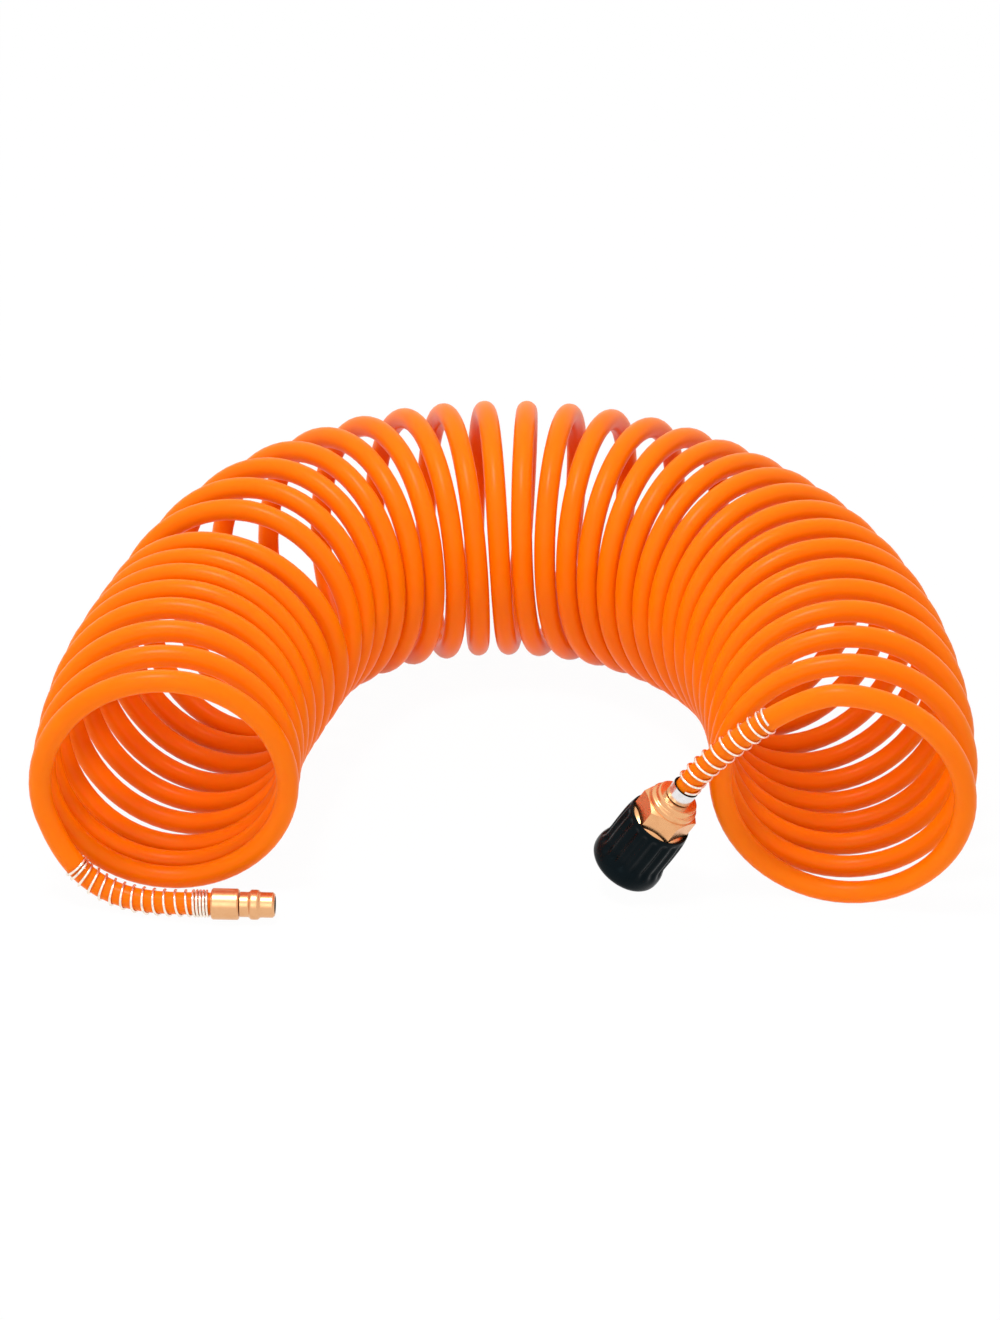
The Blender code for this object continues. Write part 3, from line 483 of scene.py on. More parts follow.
def spun(
    outline: Sequence[tuple[float, float]], steps: int, sweep: float = 2 * math.pi
) -> bmesh.types.BMesh:
    """Turn an outline about Z, as a lathe does.

    Args:
        outline: Radius and height at each point of a closed outline.
        steps: Steps round the whole sweep.
        sweep: The angle that it is turned through.

    Returns:
        The closed shape, its faces outwards.
    """
    shape = bmesh.new()
    rim = [shape.verts.new((radius, 0.0, height)) for radius, height in outline]
    sides = [
        shape.edges.new(pair)
        for pair in zip(rim, rim[1:] + rim[:1])
        if pair[0].co.x > 0.0 or pair[1].co.x > 0.0
    ]
    whole = math.isclose(sweep, 2 * math.pi)
    bmesh.ops.spin(
        shape, geom=rim + sides, cent=(0, 0, 0), axis=(0, 0, 1), angle=sweep, steps=steps,
        use_merge=whole,
    )
    bmesh.ops.remove_doubles(shape, verts=shape.verts, dist=WELD / 10)
    if not whole:
        rims = [edge for edge in shape.edges if edge.is_boundary]
        bmesh.ops.holes_fill(shape, edges=rims, sides=0)
    bmesh.ops.recalc_face_normals(shape, faces=shape.faces)
    return shape


def placed(name: str, data: bpy.types.ID) -> bpy.types.Object:
    """Make an object and link it to the scene."""
    made = bpy.data.objects.new(name, data)
    bpy.context.scene.collection.objects.link(made)
    return made


def meshed(name: str, shape: bmesh.types.BMesh) -> bpy.types.Mesh:
    """Turn a shape into a mesh, and free it."""
    mesh = bpy.data.meshes.new(name)
    shape.to_mesh(mesh)
    shape.free()
    return mesh


def combined(
    shape: bmesh.types.BMesh, tools: Iterable[bmesh.types.BMesh], operation: str
) -> bmesh.types.BMesh:
    """Cut a shape by others, or keep what they share.

    Args:
        shape: The shape, which is used up.
        tools: The other shapes, used up too.
        operation: DIFFERENCE, INTERSECT or UNION.

    Returns:
        The new shape.
    """
    holders = [placed("rough", meshed("rough", made)) for made in (shape, *tools)]
    for tool in holders[1:]:
        modifier = holders[0].modifiers.new("cut", "BOOLEAN")
        modifier.operation = operation
        modifier.object = tool
        modifier.solver = "EXACT"
    graph = bpy.context.evaluated_depsgraph_get()
    done = bpy.data.meshes.new_from_object(holders[0].evaluated_get(graph))
    result = bmesh.new()
    result.from_mesh(done)
    for holder in holders:
        bpy.data.objects.remove(holder, do_unlink=True)
    bmesh.ops.remove_doubles(result, verts=result.verts, dist=WELD)
    bmesh.ops.recalc_face_normals(result, faces=result.faces)
    return result


def raised(height: float) -> Matrix:
    """A shift along Z, given in mm."""
    return Matrix.Translation((0.0, 0.0, height * MM))


def drill(radius: float, length: float, sides: int, turn: Matrix) -> bmesh.types.BMesh:
    """A cylinder for cutting, sized in mm, centred on its middle and then turned and moved."""
    shape = bmesh.new()
    bmesh.ops.create_cone(
        shape, cap_ends=True, segments=sides, radius1=radius * MM, radius2=radius * MM,
        depth=length * MM, matrix=turn,
    )
    return shape


def piece(
    name: str, node: str, shape: bmesh.types.BMesh, place: Matrix, body: Body,
    material: bpy.types.Material, sharp: float = 38.0, weighted: bool = True,
) -> bpy.types.Object:
    """Put a shape in the scene as a finished piece, at the origin, with its place in its mesh.

    Args:
        name: The piece's name.
        node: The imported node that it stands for.
        shape: The shape, which is used up.
        place: Where it goes.
        body: The body that it rides on.
        material: Its finish.
        sharp: Edges over this many degrees stay crisp.
        weighted: Whether its larger faces keep their own shading up to their rounded edges.

    Returns:
        The piece.
    """
    mesh = meshed(name, shape)
    mesh.transform(place)
    mesh.materials.append(material)
    mesh.shade_smooth()
    mesh.set_sharp_from_angle(angle=math.radians(sharp))
    made = placed(name, mesh)
    if weighted:
        modifier = made.modifiers.new("crisp faces", "WEIGHTED_NORMAL")
        modifier.keep_sharp = True
    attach(made, body)
    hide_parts(node)
    LOG.info("%s: %d faces", name, len(mesh.polygons))
    return made


def wire(
    name: str, route: np.ndarray, radius: float, resolution: int, caps: bool = True
) -> bpy.types.Mesh:
    """Draw a round bar along a route.

    Args:
        name: The mesh's name.
        route: The points of its middle line.
        radius: Its radius.
        resolution: How finely it is round.
        caps: Whether its ends are closed.

    Returns:
        The mesh, its vertices in rings along the route.
    """
    curve = bpy.data.curves.new(name, "CURVE")
    curve.dimensions = "3D"
    curve.twist_mode = "MINIMUM"
    curve.bevel_depth = radius
    curve.bevel_resolution = resolution
    curve.use_fill_caps = caps
    line = curve.splines.new("POLY")
    line.points.add(len(route) - 1)
    for node, point in zip(line.points, route):
        node.co = (*point, 1.0)
    holder = placed(name, curve)
    graph = bpy.context.evaluated_depsgraph_get()
    mesh = bpy.data.meshes.new_from_object(holder.evaluated_get(graph))
    bpy.data.objects.remove(holder, do_unlink=True)
    return mesh


def wound(name: str, node: str, route: np.ndarray, radius: float) -> bpy.types.Object:
    """Make a spring that rides on the base and lies flat where it touches the ground.

    Args:
        name: Its name.
        node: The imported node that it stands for.
        route: The points of its wire's middle line.
        radius: Its wire's radius.

    Returns:
        The spring.
    """
    shape = bmesh.new()
    shape.from_mesh(wire(name, route, radius, SPRING_RESOLUTION))
    bmesh.ops.remove_doubles(shape, verts=shape.verts, dist=WELD)
    for vertex in shape.verts:
        vertex.co.z = max(vertex.co.z, 0.0)
    bmesh.ops.recalc_face_normals(shape, faces=shape.faces)
    material = DrawnSteelWire().dress(name + "_drawn_steel")
    return piece(
        name, node, shape, Matrix.Identity(4), Body.BASE, material, sharp=50.0,
        weighted=False,
    )


# ---- Routes --------------------------------------------------------------------------
def summed(rate: np.ndarray, step: float) -> np.ndarray:
    """The running total of a rate, by the trapezium rule."""
    return np.concatenate([[0.0], np.cumsum(rate[1:] + rate[:-1]) * step / 2])


def along(line: np.ndarray) -> np.ndarray:
    """How far along a line each of its points is."""
    return np.concatenate([[0.0], np.cumsum(np.linalg.norm(np.diff(line, axis=0), axis=1))])


def eased(share: float) -> float:
    """A share kept from 0 to 1, with a soft start and end."""
    share = min(1.0, max(0.0, share))
    return share * share * (3 - 2 * share)


def unit(vector: np.ndarray) -> np.ndarray:
    """A vector's direction."""
    return np.asarray(vector) / np.linalg.norm(vector)


def fitting_axis(place: Vector, heading: float, slope: float) -> Matrix:
    """A frame whose Z points along a heading, sloping below the horizontal."""
    out = Vector((
        math.cos(heading) * math.cos(slope), math.sin(heading) * math.cos(slope), -math.sin(slope)
    ))
    return Matrix.Translation(place) @ out.to_track_quat("Z", "Y").to_matrix().to_4x4()


@dataclass(frozen=True)
class HoseRoute:
    """The hose's middle line: a right-handed coil bent into an arch, and its two tails."""

    outer: float = 8.7 * MM
    bore: float = 6.0 * MM
    coil_radius: float = 47.2 * MM
    swell: float = 2.2 * MM
    turns: float = 34.4
    start_angle: float = math.radians(-54.0)
    start: tuple[float, float] = (-0.1290, -0.0975)
    heading: float = math.radians(87.5)
    yaw: float = math.radians(0.5)
    points_in_turn: int = 64
    flat_share: float = 0.1
    shift: tuple[float, float, float] = (-2.123 * MM, -17.166 * MM, -0.870 * MM)
    plug_offset: tuple[float, float] = (45.4 * MM, -12.0 * MM)
    plug_radius: float = 6.05 * MM
    lift: float = 0.3 * MM
    plug_heading: float = math.radians(-2.0)
    plug_stations: tuple[float, float] = (9.5 * MM, -2.5 * MM)
    plug_handles: tuple[float, float] = (20.0 * MM, 40.0 * MM)
    plug_joins: float = 0.1
    coupler_offset: tuple[float, float, float] = (-58.3 * MM, 8.5 * MM, -47.3 * MM)
    coupler_heading: float = math.radians(165.0)
    coupler_slope: float = math.radians(59.7)
    coupler_stations: tuple[float, float] = (4.9 * MM, -2.6 * MM)
    coupler_handles: tuple[float, float] = (10.2 * MM, 20.4 * MM)
    straight: float = 1.2 * MM
    straight_points: int = 8
    tail_spacing: float = 1.5 * MM
    # Turns wound so far, open gap at the inner side of the bend (mm), bend to the right
    # (degrees in a turn), and forward lean of the loops (degrees).
    stretches: tuple[tuple[float, float, float, float], ...] = (
        (0.0, 6.0, -2.8, -1.0),
        (3.0, 1.9, 5.5, 11.0),
        (6.0, 2.0, 1.8, 6.0),
        (7.6, 8.2, -1.2, 2.5),
        (8.4, 4.7, 5.1, 14.0),
        (10.0, 1.2, 10.1, 13.5),
        (13.0, 1.1, 9.5, 5.5),
        (15.5, 1.0, 6.8, -0.5),
        (19.0, 0.8, 7.7, -3.5),
        (23.0, 0.8, 5.8, -6.0),
        (27.0, 0.8, 6.3, -10.0),
        (31.0, 3.8, 2.7, -10.0),
        (34.5, 7.0, 5.8, -2.0),
    )

    def coil(self) -> np.ndarray:
        """The coil's middle line, before it is shifted.

        Returns:
            Its points, one row each.
        """
        count = round(self.turns * self.points_in_turn)
        turns = np.linspace(0.0, self.turns, count + 1)
        knots, gaps, bends, leans = np.array(self.stretches).T
        bend = np.radians(np.interp(turns, knots, bends))
        lean = np.radians(np.interp(turns, knots, leans))
        pitch = self.outer + np.interp(turns, knots, gaps) * MM + self.coil_radius * np.abs(bend)
        step = self.turns / count
        heading = self.heading - summed(bend, step)
        middle_x = self.start[0] + summed(pitch * np.cos(heading), step)
        middle_y = self.start[1] + summed(pitch * np.sin(heading), step)
        radius = self.coil_radius + self.swell * np.sin(math.pi * turns / self.turns) ** 2
        angle = self.start_angle + 2 * math.pi * turns
        side, rise = radius * np.cos(angle), radius * np.sin(angle)
        ahead = rise * np.tan(lean) + side * math.tan(self.yaw)
        return np.stack(
            [
                middle_x - side * np.sin(heading) + ahead * np.cos(heading),
                middle_y + side * np.cos(heading) + ahead * np.sin(heading),
                radius + self.outer / 2 + rise,
            ],
            axis=1,
        )

    def plug_axis(self) -> Matrix:
        """The plug's axis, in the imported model's frame."""
        first = self.coil()[0]
        height = self.flat_share * self.outer + self.lift + self.plug_radius
        spot = Vector((first[0] + self.plug_offset[0], first[1] + self.plug_offset[1], height))
        return fitting_axis(spot + Vector(self.shift), self.plug_heading, 0.0)

    def coupler_axis(self) -> Matrix:
        """The coupler's axis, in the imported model's frame."""
        spot = Vector(self.coil()[-1]) + Vector(self.coupler_offset) + Vector(self.shift)
        return fitting_axis(spot, self.coupler_heading, self.coupler_slope)

    def tail(
        self, axis: Matrix, stations: tuple[float, float], end: np.ndarray, out: np.ndarray,
        handles: tuple[float, float],
    ) -> np.ndarray:
        """The hose from its end in a fitting to the coil, straight while the stem is in it.

        Args:
            axis: The fitting's axis.
            stations: Heights of the hose's end and of the stem's start.
            end: The coil's end.
            out: The direction in which the coil would go on from there.
            handles: Lengths of the curve's two handles.

        Returns:
            Its points, from the fitting, without the coil's own end.
        """
        inside = np.array(axis @ Vector((0, 0, stations[0])))
        free = np.array(axis @ Vector((0, 0, stations[1] - self.straight)))
        back = unit(free - inside)
        first, second = free + back * handles[0], end + out * handles[1]
        shares = np.linspace(0.0, 1.0, self.straight_points, endpoint=False)[:, None]
        straight = inside + shares * (free - inside)
        count = math.ceil(np.linalg.norm(end - free) / self.tail_spacing)
        t = np.linspace(0.0, 1.0, count + 1)[:-1, None]
        curve = (
            (1 - t) ** 3 * free
            + 3 * (1 - t) ** 2 * t * first
            + 3 * (1 - t) * t**2 * second
            + t**3 * end
        )
        return np.concatenate([straight, curve])

    def whole(self) -> np.ndarray:
        """The whole middle line from the plug to the coupler.

        Returns:
            Its points, one row each.
        """
        coil = self.coil() + np.array(self.shift)
        coil = coil[round(self.plug_joins * self.points_in_turn) :]
        start = self.tail(
            self.plug_axis(), self.plug_stations, coil[0], -unit(coil[1] - coil[0]),
            self.plug_handles,
        )
        end = self.tail(
            self.coupler_axis(), self.coupler_stations, coil[-1], unit(coil[-1] - coil[-2]),
            self.coupler_handles,
        )
        return np.concatenate([start, coil, end[::-1]])


# ---- Hose ----------------------------------------------------------------------------
@dataclass
class Hose:
    """The hose itself, one tube with its bore, lying flat where it touches the ground."""

    route: HoseRoute
    outer_resolution: int = 10
    bore_resolution: int = 4

    def build(self) -> bpy.types.Object:
        """Make the hose.

        Returns:
            The hose.
        """
        line = self.route.whole()
        outer = wire("hose_outer", line, self.route.outer / 2, self.outer_resolution, caps=False)
        inner = wire("hose_bore", line, self.route.bore / 2, self.bore_resolution, caps=False)
        inner.flip_normals()
        shape = bmesh.new()
        shape.from_mesh(outer)
        shape.from_mesh(inner)
        for near in (line[0], line[-1]):
            rims = [
                edge for edge in shape.edges
                if edge.is_boundary and (edge.verts[0].co - Vector(near)).length < self.route.outer
            ]
            bmesh.ops.bridge_loops(shape, edges=rims)
        skin = shape.verts.layers.float_vector.new("straightened")
        travelled = along(line)
        shape.verts.ensure_lookup_table()
        sides, radius = len(outer.vertices) // len(line), self.route.outer / 2
        for number in range(len(outer.vertices)):
            ring, step = divmod(number, sides)
            turn = 2 * math.pi * step / sides
            shape.verts[number][skin] = (
                radius * math.cos(turn), radius * math.sin(turn), travelled[ring]
            )
        for vertex in shape.verts:
            vertex.co.z = max(vertex.co.z, 0.0)
        material = ExtrudedPolyurethane().dress("extruded_polyurethane")
        return piece(
            "hose_tube", "hose", shape, Matrix.Identity(4), Body.BASE, material,
            sharp=60.0, weighted=False,
        )

    def declare(self) -> None:
        line = self.route.whole()


# ---- Springs -------------------------------------------------------------------------
@dataclass
class GuardSpring:
    """A wire wound round the hose from just behind a ferrule, so that it can't kink there."""

    name: str
    centre: np.ndarray
    pitches: tuple[float, ...]
    wire: float = 1.08 * MM
    radius: float = 4.93 * MM
    points: int = 28

    def route(self) -> np.ndarray:
        """The wire's middle line.

        Returns:
            Its points, from the ferrule.
        """
        centre = self.centre
        lengths = along(centre)
        tangents = np.gradient(centre, lengths, axis=0)
        count = len(self.pitches) * self.points
        curls = np.arange(count + 1) / self.points
        middles = np.arange(len(self.pitches)) + 0.5
        pitch = np.interp(curls, middles, self.pitches)
        climbs = summed(pitch, 1 / self.points)
        across = np.cross(unit(tangents[0]), (0.0, 0.0, 1.0))
        route = []
        for curl, climb in zip(curls, climbs):
            middle = np.array([np.interp(climb, lengths, centre[:, k]) for k in range(3)])
            ahead = unit([np.interp(climb, lengths, tangents[:, k]) for k in range(3)])
            across = unit(across - ahead * np.dot(across, ahead))
            up = np.cross(ahead, across)
            angle = 2 * math.pi * curl
            route.append(middle + self.radius * (math.cos(angle) * across + math.sin(angle) * up))
        return np.array(route)

    def build(self) -> bpy.types.Object:
        """Make the spring."""
        return wound(self.name, self.name + "_spring", self.route(), self.wire / 2)


@dataclass
class InnerSpring:
    """A compression spring on the coupler's axis, with both ends closed."""

    name: str
    node: str
    axis: Matrix
    radius: float
    wire: float
    curls: int
    start: float
    end: float
    joint: str
    travel: float
    points: int = 28
    closed: float = 1.15

    def build(self) -> bpy.types.Object:
        """Make the spring.

        Returns:
            The spring.
        """
        closed = self.closed * self.wire
        low, high = self.start + self.wire / 2, self.end - self.wire / 2
        open_pitch = (high - low - closed) / (self.curls - 1)
        count = self.curls * self.points
        curls = np.arange(count + 1) / self.points
        pitch = np.interp(
            curls, (0.0, 0.5, 1.0, self.curls - 1.0, self.curls - 0.5, self.curls),
            (closed, closed, open_pitch, open_pitch, closed, closed),
        )
        climb = summed(pitch, 1 / self.points)
        height = low + climb * (high - low) / climb[-1]
        angle = 2 * math.pi * curls
        local = np.stack(
            [self.radius * np.cos(angle), self.radius * np.sin(angle), height], axis=1
        )
        route = np.array([self.axis @ Vector(point) for point in local])
        made = wound(self.name, self.node, route, self.wire / 2)
        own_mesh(made)
        return made


# ---- Fittings ------------------------------------------------------------------------
def barbed(root: float, start: float, end: float) -> list[Corner]:
    """The outer side of a barbed stem, in mm.

    Args:
        root: Its radius between the barbs.
        start: Height of its free end.
        end: Height where it meets the fitting.

    Returns:
        The corners, from the free end up.
    """
    depth, pitch = 0.4, 2.5
    corners: list[Corner] = [(root, start, 0.0)]
    height = start + pitch
    while height < end - pitch / 2:
        corners += [(root + depth, height, 0.05), (root, height + depth / 2, 0.0)]
        height += pitch
    return corners


def band(inner: float, outer: float, low: float, high: float, soft: float = 0.12) -> list[Corner]:
    """The outline of a flat ring, in mm, its corners softened."""
    return [(inner, low, soft), (outer, low, soft), (outer, high, soft), (inner, high, soft)]


def cup(
    bore: float, outer: float, length: float, wall: float, hole: float, chamfer: float
) -> list[Corner]:
    """The outline of a ferrule pressed over the hose, its end wall pierced for the stem, in mm."""
    edge = chamfer / 3
    return [
        (bore, 0.0, 0.1),
        (outer - chamfer, 0.0, edge),
        (outer, chamfer, edge),
        (outer, length - chamfer, edge),
        (outer - chamfer, length, edge),
        (hole, length, 0.0),
        (hole, length - wall, 0.0),
        (bore, length - wall, 0.0),
    ]


@dataclass
class Plug:
    """The plug: a brass ferrule, and a nipple with its barbed stem, neck, ring and mouth.

    Its sizes are in millimetres.
    """

    axis: Matrix
    steps: int = 96
    ferrule_length: float = 10.8
    ferrule_radius: float = 6.05
    neck_radius: float = 4.9
    ring_radius: float = 5.85
    tip_radius: float = 4.95
    mouth_radius: float = 3.4
    brass: TurnedMetal = field(init=False)

    def __post_init__(self) -> None:
        """Lay the turned finish about this fitting's axis."""
        # Everything inside a radius of 3.55 mm, the bore and mouth, has painted shade.
        self.brass = TurnedMetal(
            "#E6AF7E", "#DBA06C", roughness=0.30, axis=self.axis, bore=3.55 * MM
        )

    def build(self) -> list[bpy.types.Object]:
        """Make the plug's two pieces.

        Returns:
            The ferrule and the body.
        """
        ferrule = cup(
            bore=4.65, outer=self.ferrule_radius, length=self.ferrule_length, wall=1.0, hole=2.9,
            chamfer=0.6,
        )
        outlines = {
            ("plug_collar", "plug_ferrule"): ferrule,
            ("plug_nipple", "plug_body"): self.outline(),
        }
        return [
            piece(
                name, node, spun(filleted(corners), self.steps), self.axis, Body.BASE,
                self.brass.dress(name + "_turned_brass"),
            )
            for (name, node), corners in outlines.items()
        ]

    def outline(self) -> list[Corner]:
        """The nipple's outline, round from its bore at the stem's free end."""
        return [
            (1.5, -2.5, 0.1), *barbed(2.2, -2.5, 9.5), (2.6, 9.5, 0.0), (2.6, 11.1, 0.0),
            (self.neck_radius, 11.1, 0.15), (self.neck_radius, 14.6, 0.6),
            (self.ring_radius, 15.3, 0.6), (self.ring_radius, 18.1, 0.7),
            (self.tip_radius, 18.9, 0.6), (self.tip_radius, 23.8, 0.25),
            (self.tip_radius - 0.8, 24.6, 0.2), (self.mouth_radius, 24.6, 0.25),
            (self.mouth_radius, 15.9, 0.3), (1.5, 13.4, 0.3),
        ]


@dataclass
class Coupler:
    """The quick coupler: ferrule, hexagon adaptor, barrel, sprung sleeve, balls and valve.

    Its sizes and heights are in millimetres.
    """

    axis: Matrix
    steps: int = 96
    hexagon: float = 20.6
    barrel_radius: float = 7.6
    socket_radius: float = 6.05
    end: float = 48.4
    sleeve_end: float = 46.3
    ball_plane: float = 38.8
    ball_out: float = 6.7
    ball_radius: float = 1.75
    ball_play: float = 0.3
    ribs: int = 18
    rib_steps: int = 16
    rib_depth: float = 0.95
    grip_rows: int = 72
    smoothings: int = 4
    nitrile: MouldedRubber = MouldedRubber(
        "#060606", "#101010", roughness=0.45, sheen=0.4, tint="#FFFFFF"
    )
    brass: TurnedMetal = field(init=False)
    steel: TurnedMetal = field(init=False)

    def __post_init__(self) -> None:
        """Lay the turned finishes about this fitting's axis."""
        self.brass = TurnedMetal("#ECB07C", "#DF9F6C", roughness=0.26, axis=self.axis)
        # The steel cup's rear rim, up to 0.3 mm, gets a line of painted shade.
        self.steel = TurnedMetal(
            "#ECEAEA", "#D2D1D1", roughness=0.18, axis=self.axis, rim=0.3 * MM
        )

    def build(self) -> list[bpy.types.Object]:
        """Make every piece of the coupler.

        Returns:
            The pieces.
        """
        made = [self.ferrule(), self.adaptor(), self.barrel(), self.liner(), self.grip()]
        made += self.rings()
        made += self.valve()
        made += [self.ball(number) for number in range(4)]
        made += self.springs()
        return made

    def fit(
        self, name: str, node: str, shape: bmesh.types.BMesh, body: Body,
        finish: Finish, sharp: float = 38.0, weighted: bool = True,
    ) -> bpy.types.Object:
        """Stand one finished piece on the coupler's axis."""
        material = finish.dress(name + "_finish")
        return piece(name, node, shape, self.axis, body, material, sharp, weighted)

    def ferrule(self) -> bpy.types.Object:
        """The short bright cup pressed over the hose."""
        corners = cup(bore=4.65, outer=5.3, length=6.0, wall=0.8, hole=2.9, chamfer=0.2)
        shape = spun(filleted(corners), self.steps)
        return self.fit("coupler_cup", "coupler_ferrule", shape, Body.BASE, self.steel)

    def adaptor(self) -> bpy.types.Object:
        """The brass piece with the round collar and the chamfered hexagon."""
        face = self.hexagon / 2
        corner = face / math.cos(math.pi / 6)
        drop = (corner - face) * math.tan(math.radians(37.0))
        start, end = 11.2, 21.25
        corners: list[Corner] = [
            (1.7, -2.6, 0.1), *barbed(2.2, -2.6, 4.9), (2.6, 4.9, 0.0), (2.6, 6.3, 0.0),
            (8.6, 6.3, 1.1), (8.6, 8.5, 0.4), (9.9, 9.1, 0.5), (9.9, start, 0.1),
            (face - 0.1, start, 0.0), (corner + 0.1, start + drop, 0.0),
            (corner + 0.1, end - 0.3, 0.0), (corner - 0.3, end, 0.0), (7.0, end, 0.1),
            (7.0, 24.0, 0.3), (5.4, 24.0, 0.2), (5.4, 11.9, 0.2), (1.7, 11.9, 0.2),
        ]
        round_part = spun(filleted(corners), 2 * self.steps)
        prism = drill(corner, length=30, sides=6, turn=raised(10.7))
        shape = combined(round_part, [prism], "INTERSECT")
        skirt, inner, low, high = corner - 0.05, 9.0, 19.3, 21.2
        cone = [
            (inner, low, 0.0), (face - 0.05, low, 0.0), (skirt, low + 1.45, 0.0),
            (skirt, high, 0.0), (inner, high, 0.0),
        ]
        shape = combined(shape, [spun(filleted(cone), self.steps)], "UNION")
        return self.fit(
            "coupler_hexagon", "coupler_adaptor", shape, Body.BASE, self.brass,
            sharp=25.0,
        )

    def lane(self, number: int) -> Matrix:
        """The turn and shift that lay Z along one ball's outward lane."""
        angle = math.radians(45.0) + math.pi / 2 * number
        about = Matrix.Rotation(angle, 4, "Z") @ Matrix.Rotation(math.pi / 2, 4, "Y")
        return raised(self.ball_plane) @ about

    def barrel(self) -> bpy.types.Object:
        """The barrel with its flange, sockets, grooves and the four ball holes."""
        outer, socket, end = self.barrel_radius, self.socket_radius, self.end
        corners: list[Corner] = [
            (7.3, 22.2, 0.1), (9.0, 22.2, 0.2), (9.0, 24.8, 0.2), (outer, 24.8, 0.1),
            (outer, 46.45, 0.1), (outer - 1.0, 46.45, 0.0), (outer - 1.0, 47.55, 0.0),
            (outer, 47.55, 0.1), (outer, end, 0.45), (socket, end, 0.5), (socket, 32.6, 0.2),
            (5.15, 32.6, 0.2), (5.15, 30.9, 0.1), (6.65, 30.9, 0.1), (6.65, 28.7, 0.1),
            (5.15, 28.7, 0.1), (5.15, 27.0, 0.1), (4.4, 27.0, 0.1), (4.4, 24.3, 0.1),
            (7.3, 24.3, 0.0),
        ]
        holes = [
            drill(
                self.ball_radius + self.ball_play, length=5, sides=40,
                turn=self.lane(number) @ raised(7.0),
            )
            for number in range(4)
        ]
        shape = combined(spun(filleted(corners), self.steps), holes, "DIFFERENCE")
        return self.fit(
            "barrel", "coupler_barrel", shape, Body.BASE, self.brass, sharp=30.0
        )

    def liner(self) -> bpy.types.Object:
        """The metal sleeve inside the grip, with its shoulder and the cone for the balls."""
        corners: list[Corner] = [
            (9.5, 26.1, 0.2), (10.4, 26.1, 0.2), (10.4, 40.4, 0.05), (11.2, 40.4, 0.2),
            (11.2, self.sleeve_end, 0.3), (8.2, self.sleeve_end, 0.3), (8.2, 45.4, 0.15),
            (10.25, 44.8, 0.2), (8.38, 37.0, 0.1), (7.9, 36.7, 0.1), (7.9, 34.2, 0.1),
            (9.5, 34.2, 0.1),
        ]
        shape = spun(filleted(corners), self.steps)
        return self.fit("liner", "sleeve_liner", shape, Body.SLEEVE, self.steel)

    def rings(self) -> list[bpy.types.Object]:
        """The retaining ring, the spring's washer and the two seals in the barrel."""
        flat = {
            "retaining_ring": (6.9, 8.8, 46.6, 47.4, Body.BASE, Slot.STEEL, self.steel),
            "spring_washer": (7.9, 9.2, 33.1, 33.9, Body.WASHER, Slot.STEEL, self.steel),
            "adaptor_seal": (7.3, 8.7, 21.3, 21.9, Body.BASE, Slot.SEAL, self.nitrile),
        }
        made = []
        for node, (inner, outer, low, high, body, slot, finish) in flat.items():
            sweep = math.radians(310.0) if node == "retaining_ring" else 2 * math.pi
            shape = spun(filleted(band(inner, outer, low, high)), self.steps, sweep)
            made.append(self.fit("fine_" + node, node, shape, body, finish))
        middle, height, section, sides = 5.6, 29.8, 0.75, 20
        ring = [
            (middle + section * math.cos(turn), height + section * math.sin(turn), 0.0)
            for turn in np.linspace(0.0, 2 * math.pi, sides, endpoint=False)
        ]
        shape = spun(filleted(ring), self.steps)
        made.append(self.fit("o_ring", "socket_seal", shape, Body.BASE, self.nitrile))
        return made

    def valve(self) -> list[bpy.types.Object]:
        """The poppet with its cup and windows, and its face seal."""
        corners: list[Corner] = [
            (0.0, 21.5, 0.0), (5.1, 21.5, 0.2), (5.1, 22.9, 0.2), (4.1, 22.9, 0.05),
            (4.1, 30.5, 0.3), (3.2, 30.5, 0.2), (3.2, 25.3, 0.3), (0.0, 25.3, 0.0),
        ]
        across = Matrix.Rotation(math.pi / 2, 4, "Y")
        windows = [
            drill(radius=1.0, length=11, sides=32, turn=raised(26.6) @ about @ across)
            for about in (Matrix.Rotation(turn, 4, "Z") for turn in (0.0, math.pi / 2))
        ]
        shape = combined(spun(filleted(corners), self.steps), windows, "DIFFERENCE")
        poppet = self.fit(
            "poppet", "valve_poppet", shape, Body.VALVE, self.brass, sharp=30.0
        )
        face = spun(filleted(band(4.4, 5.1, 23.2, 24.0)), self.steps)
        seal = self.fit("poppet_seal", "valve_seal", face, Body.VALVE, self.nitrile)
        return [poppet, seal]

    def ball(self, number: int) -> bpy.types.Object:
        """One locking ball."""
        shape = bmesh.new()
        bmesh.ops.create_uvsphere(
            shape, u_segments=32, v_segments=20, radius=self.ball_radius * MM,
            matrix=self.lane(number) @ raised(self.ball_out),
        )
        name = f"locking_ball_{number + 1}"
        return self.fit(
            "fine_" + name, name, shape, Body(f"ball_{number + 1}"),
            DrawnSteelWire("#EDEDED", "#D0D0D0", roughness=0.10), sharp=60.0, weighted=False,
        )

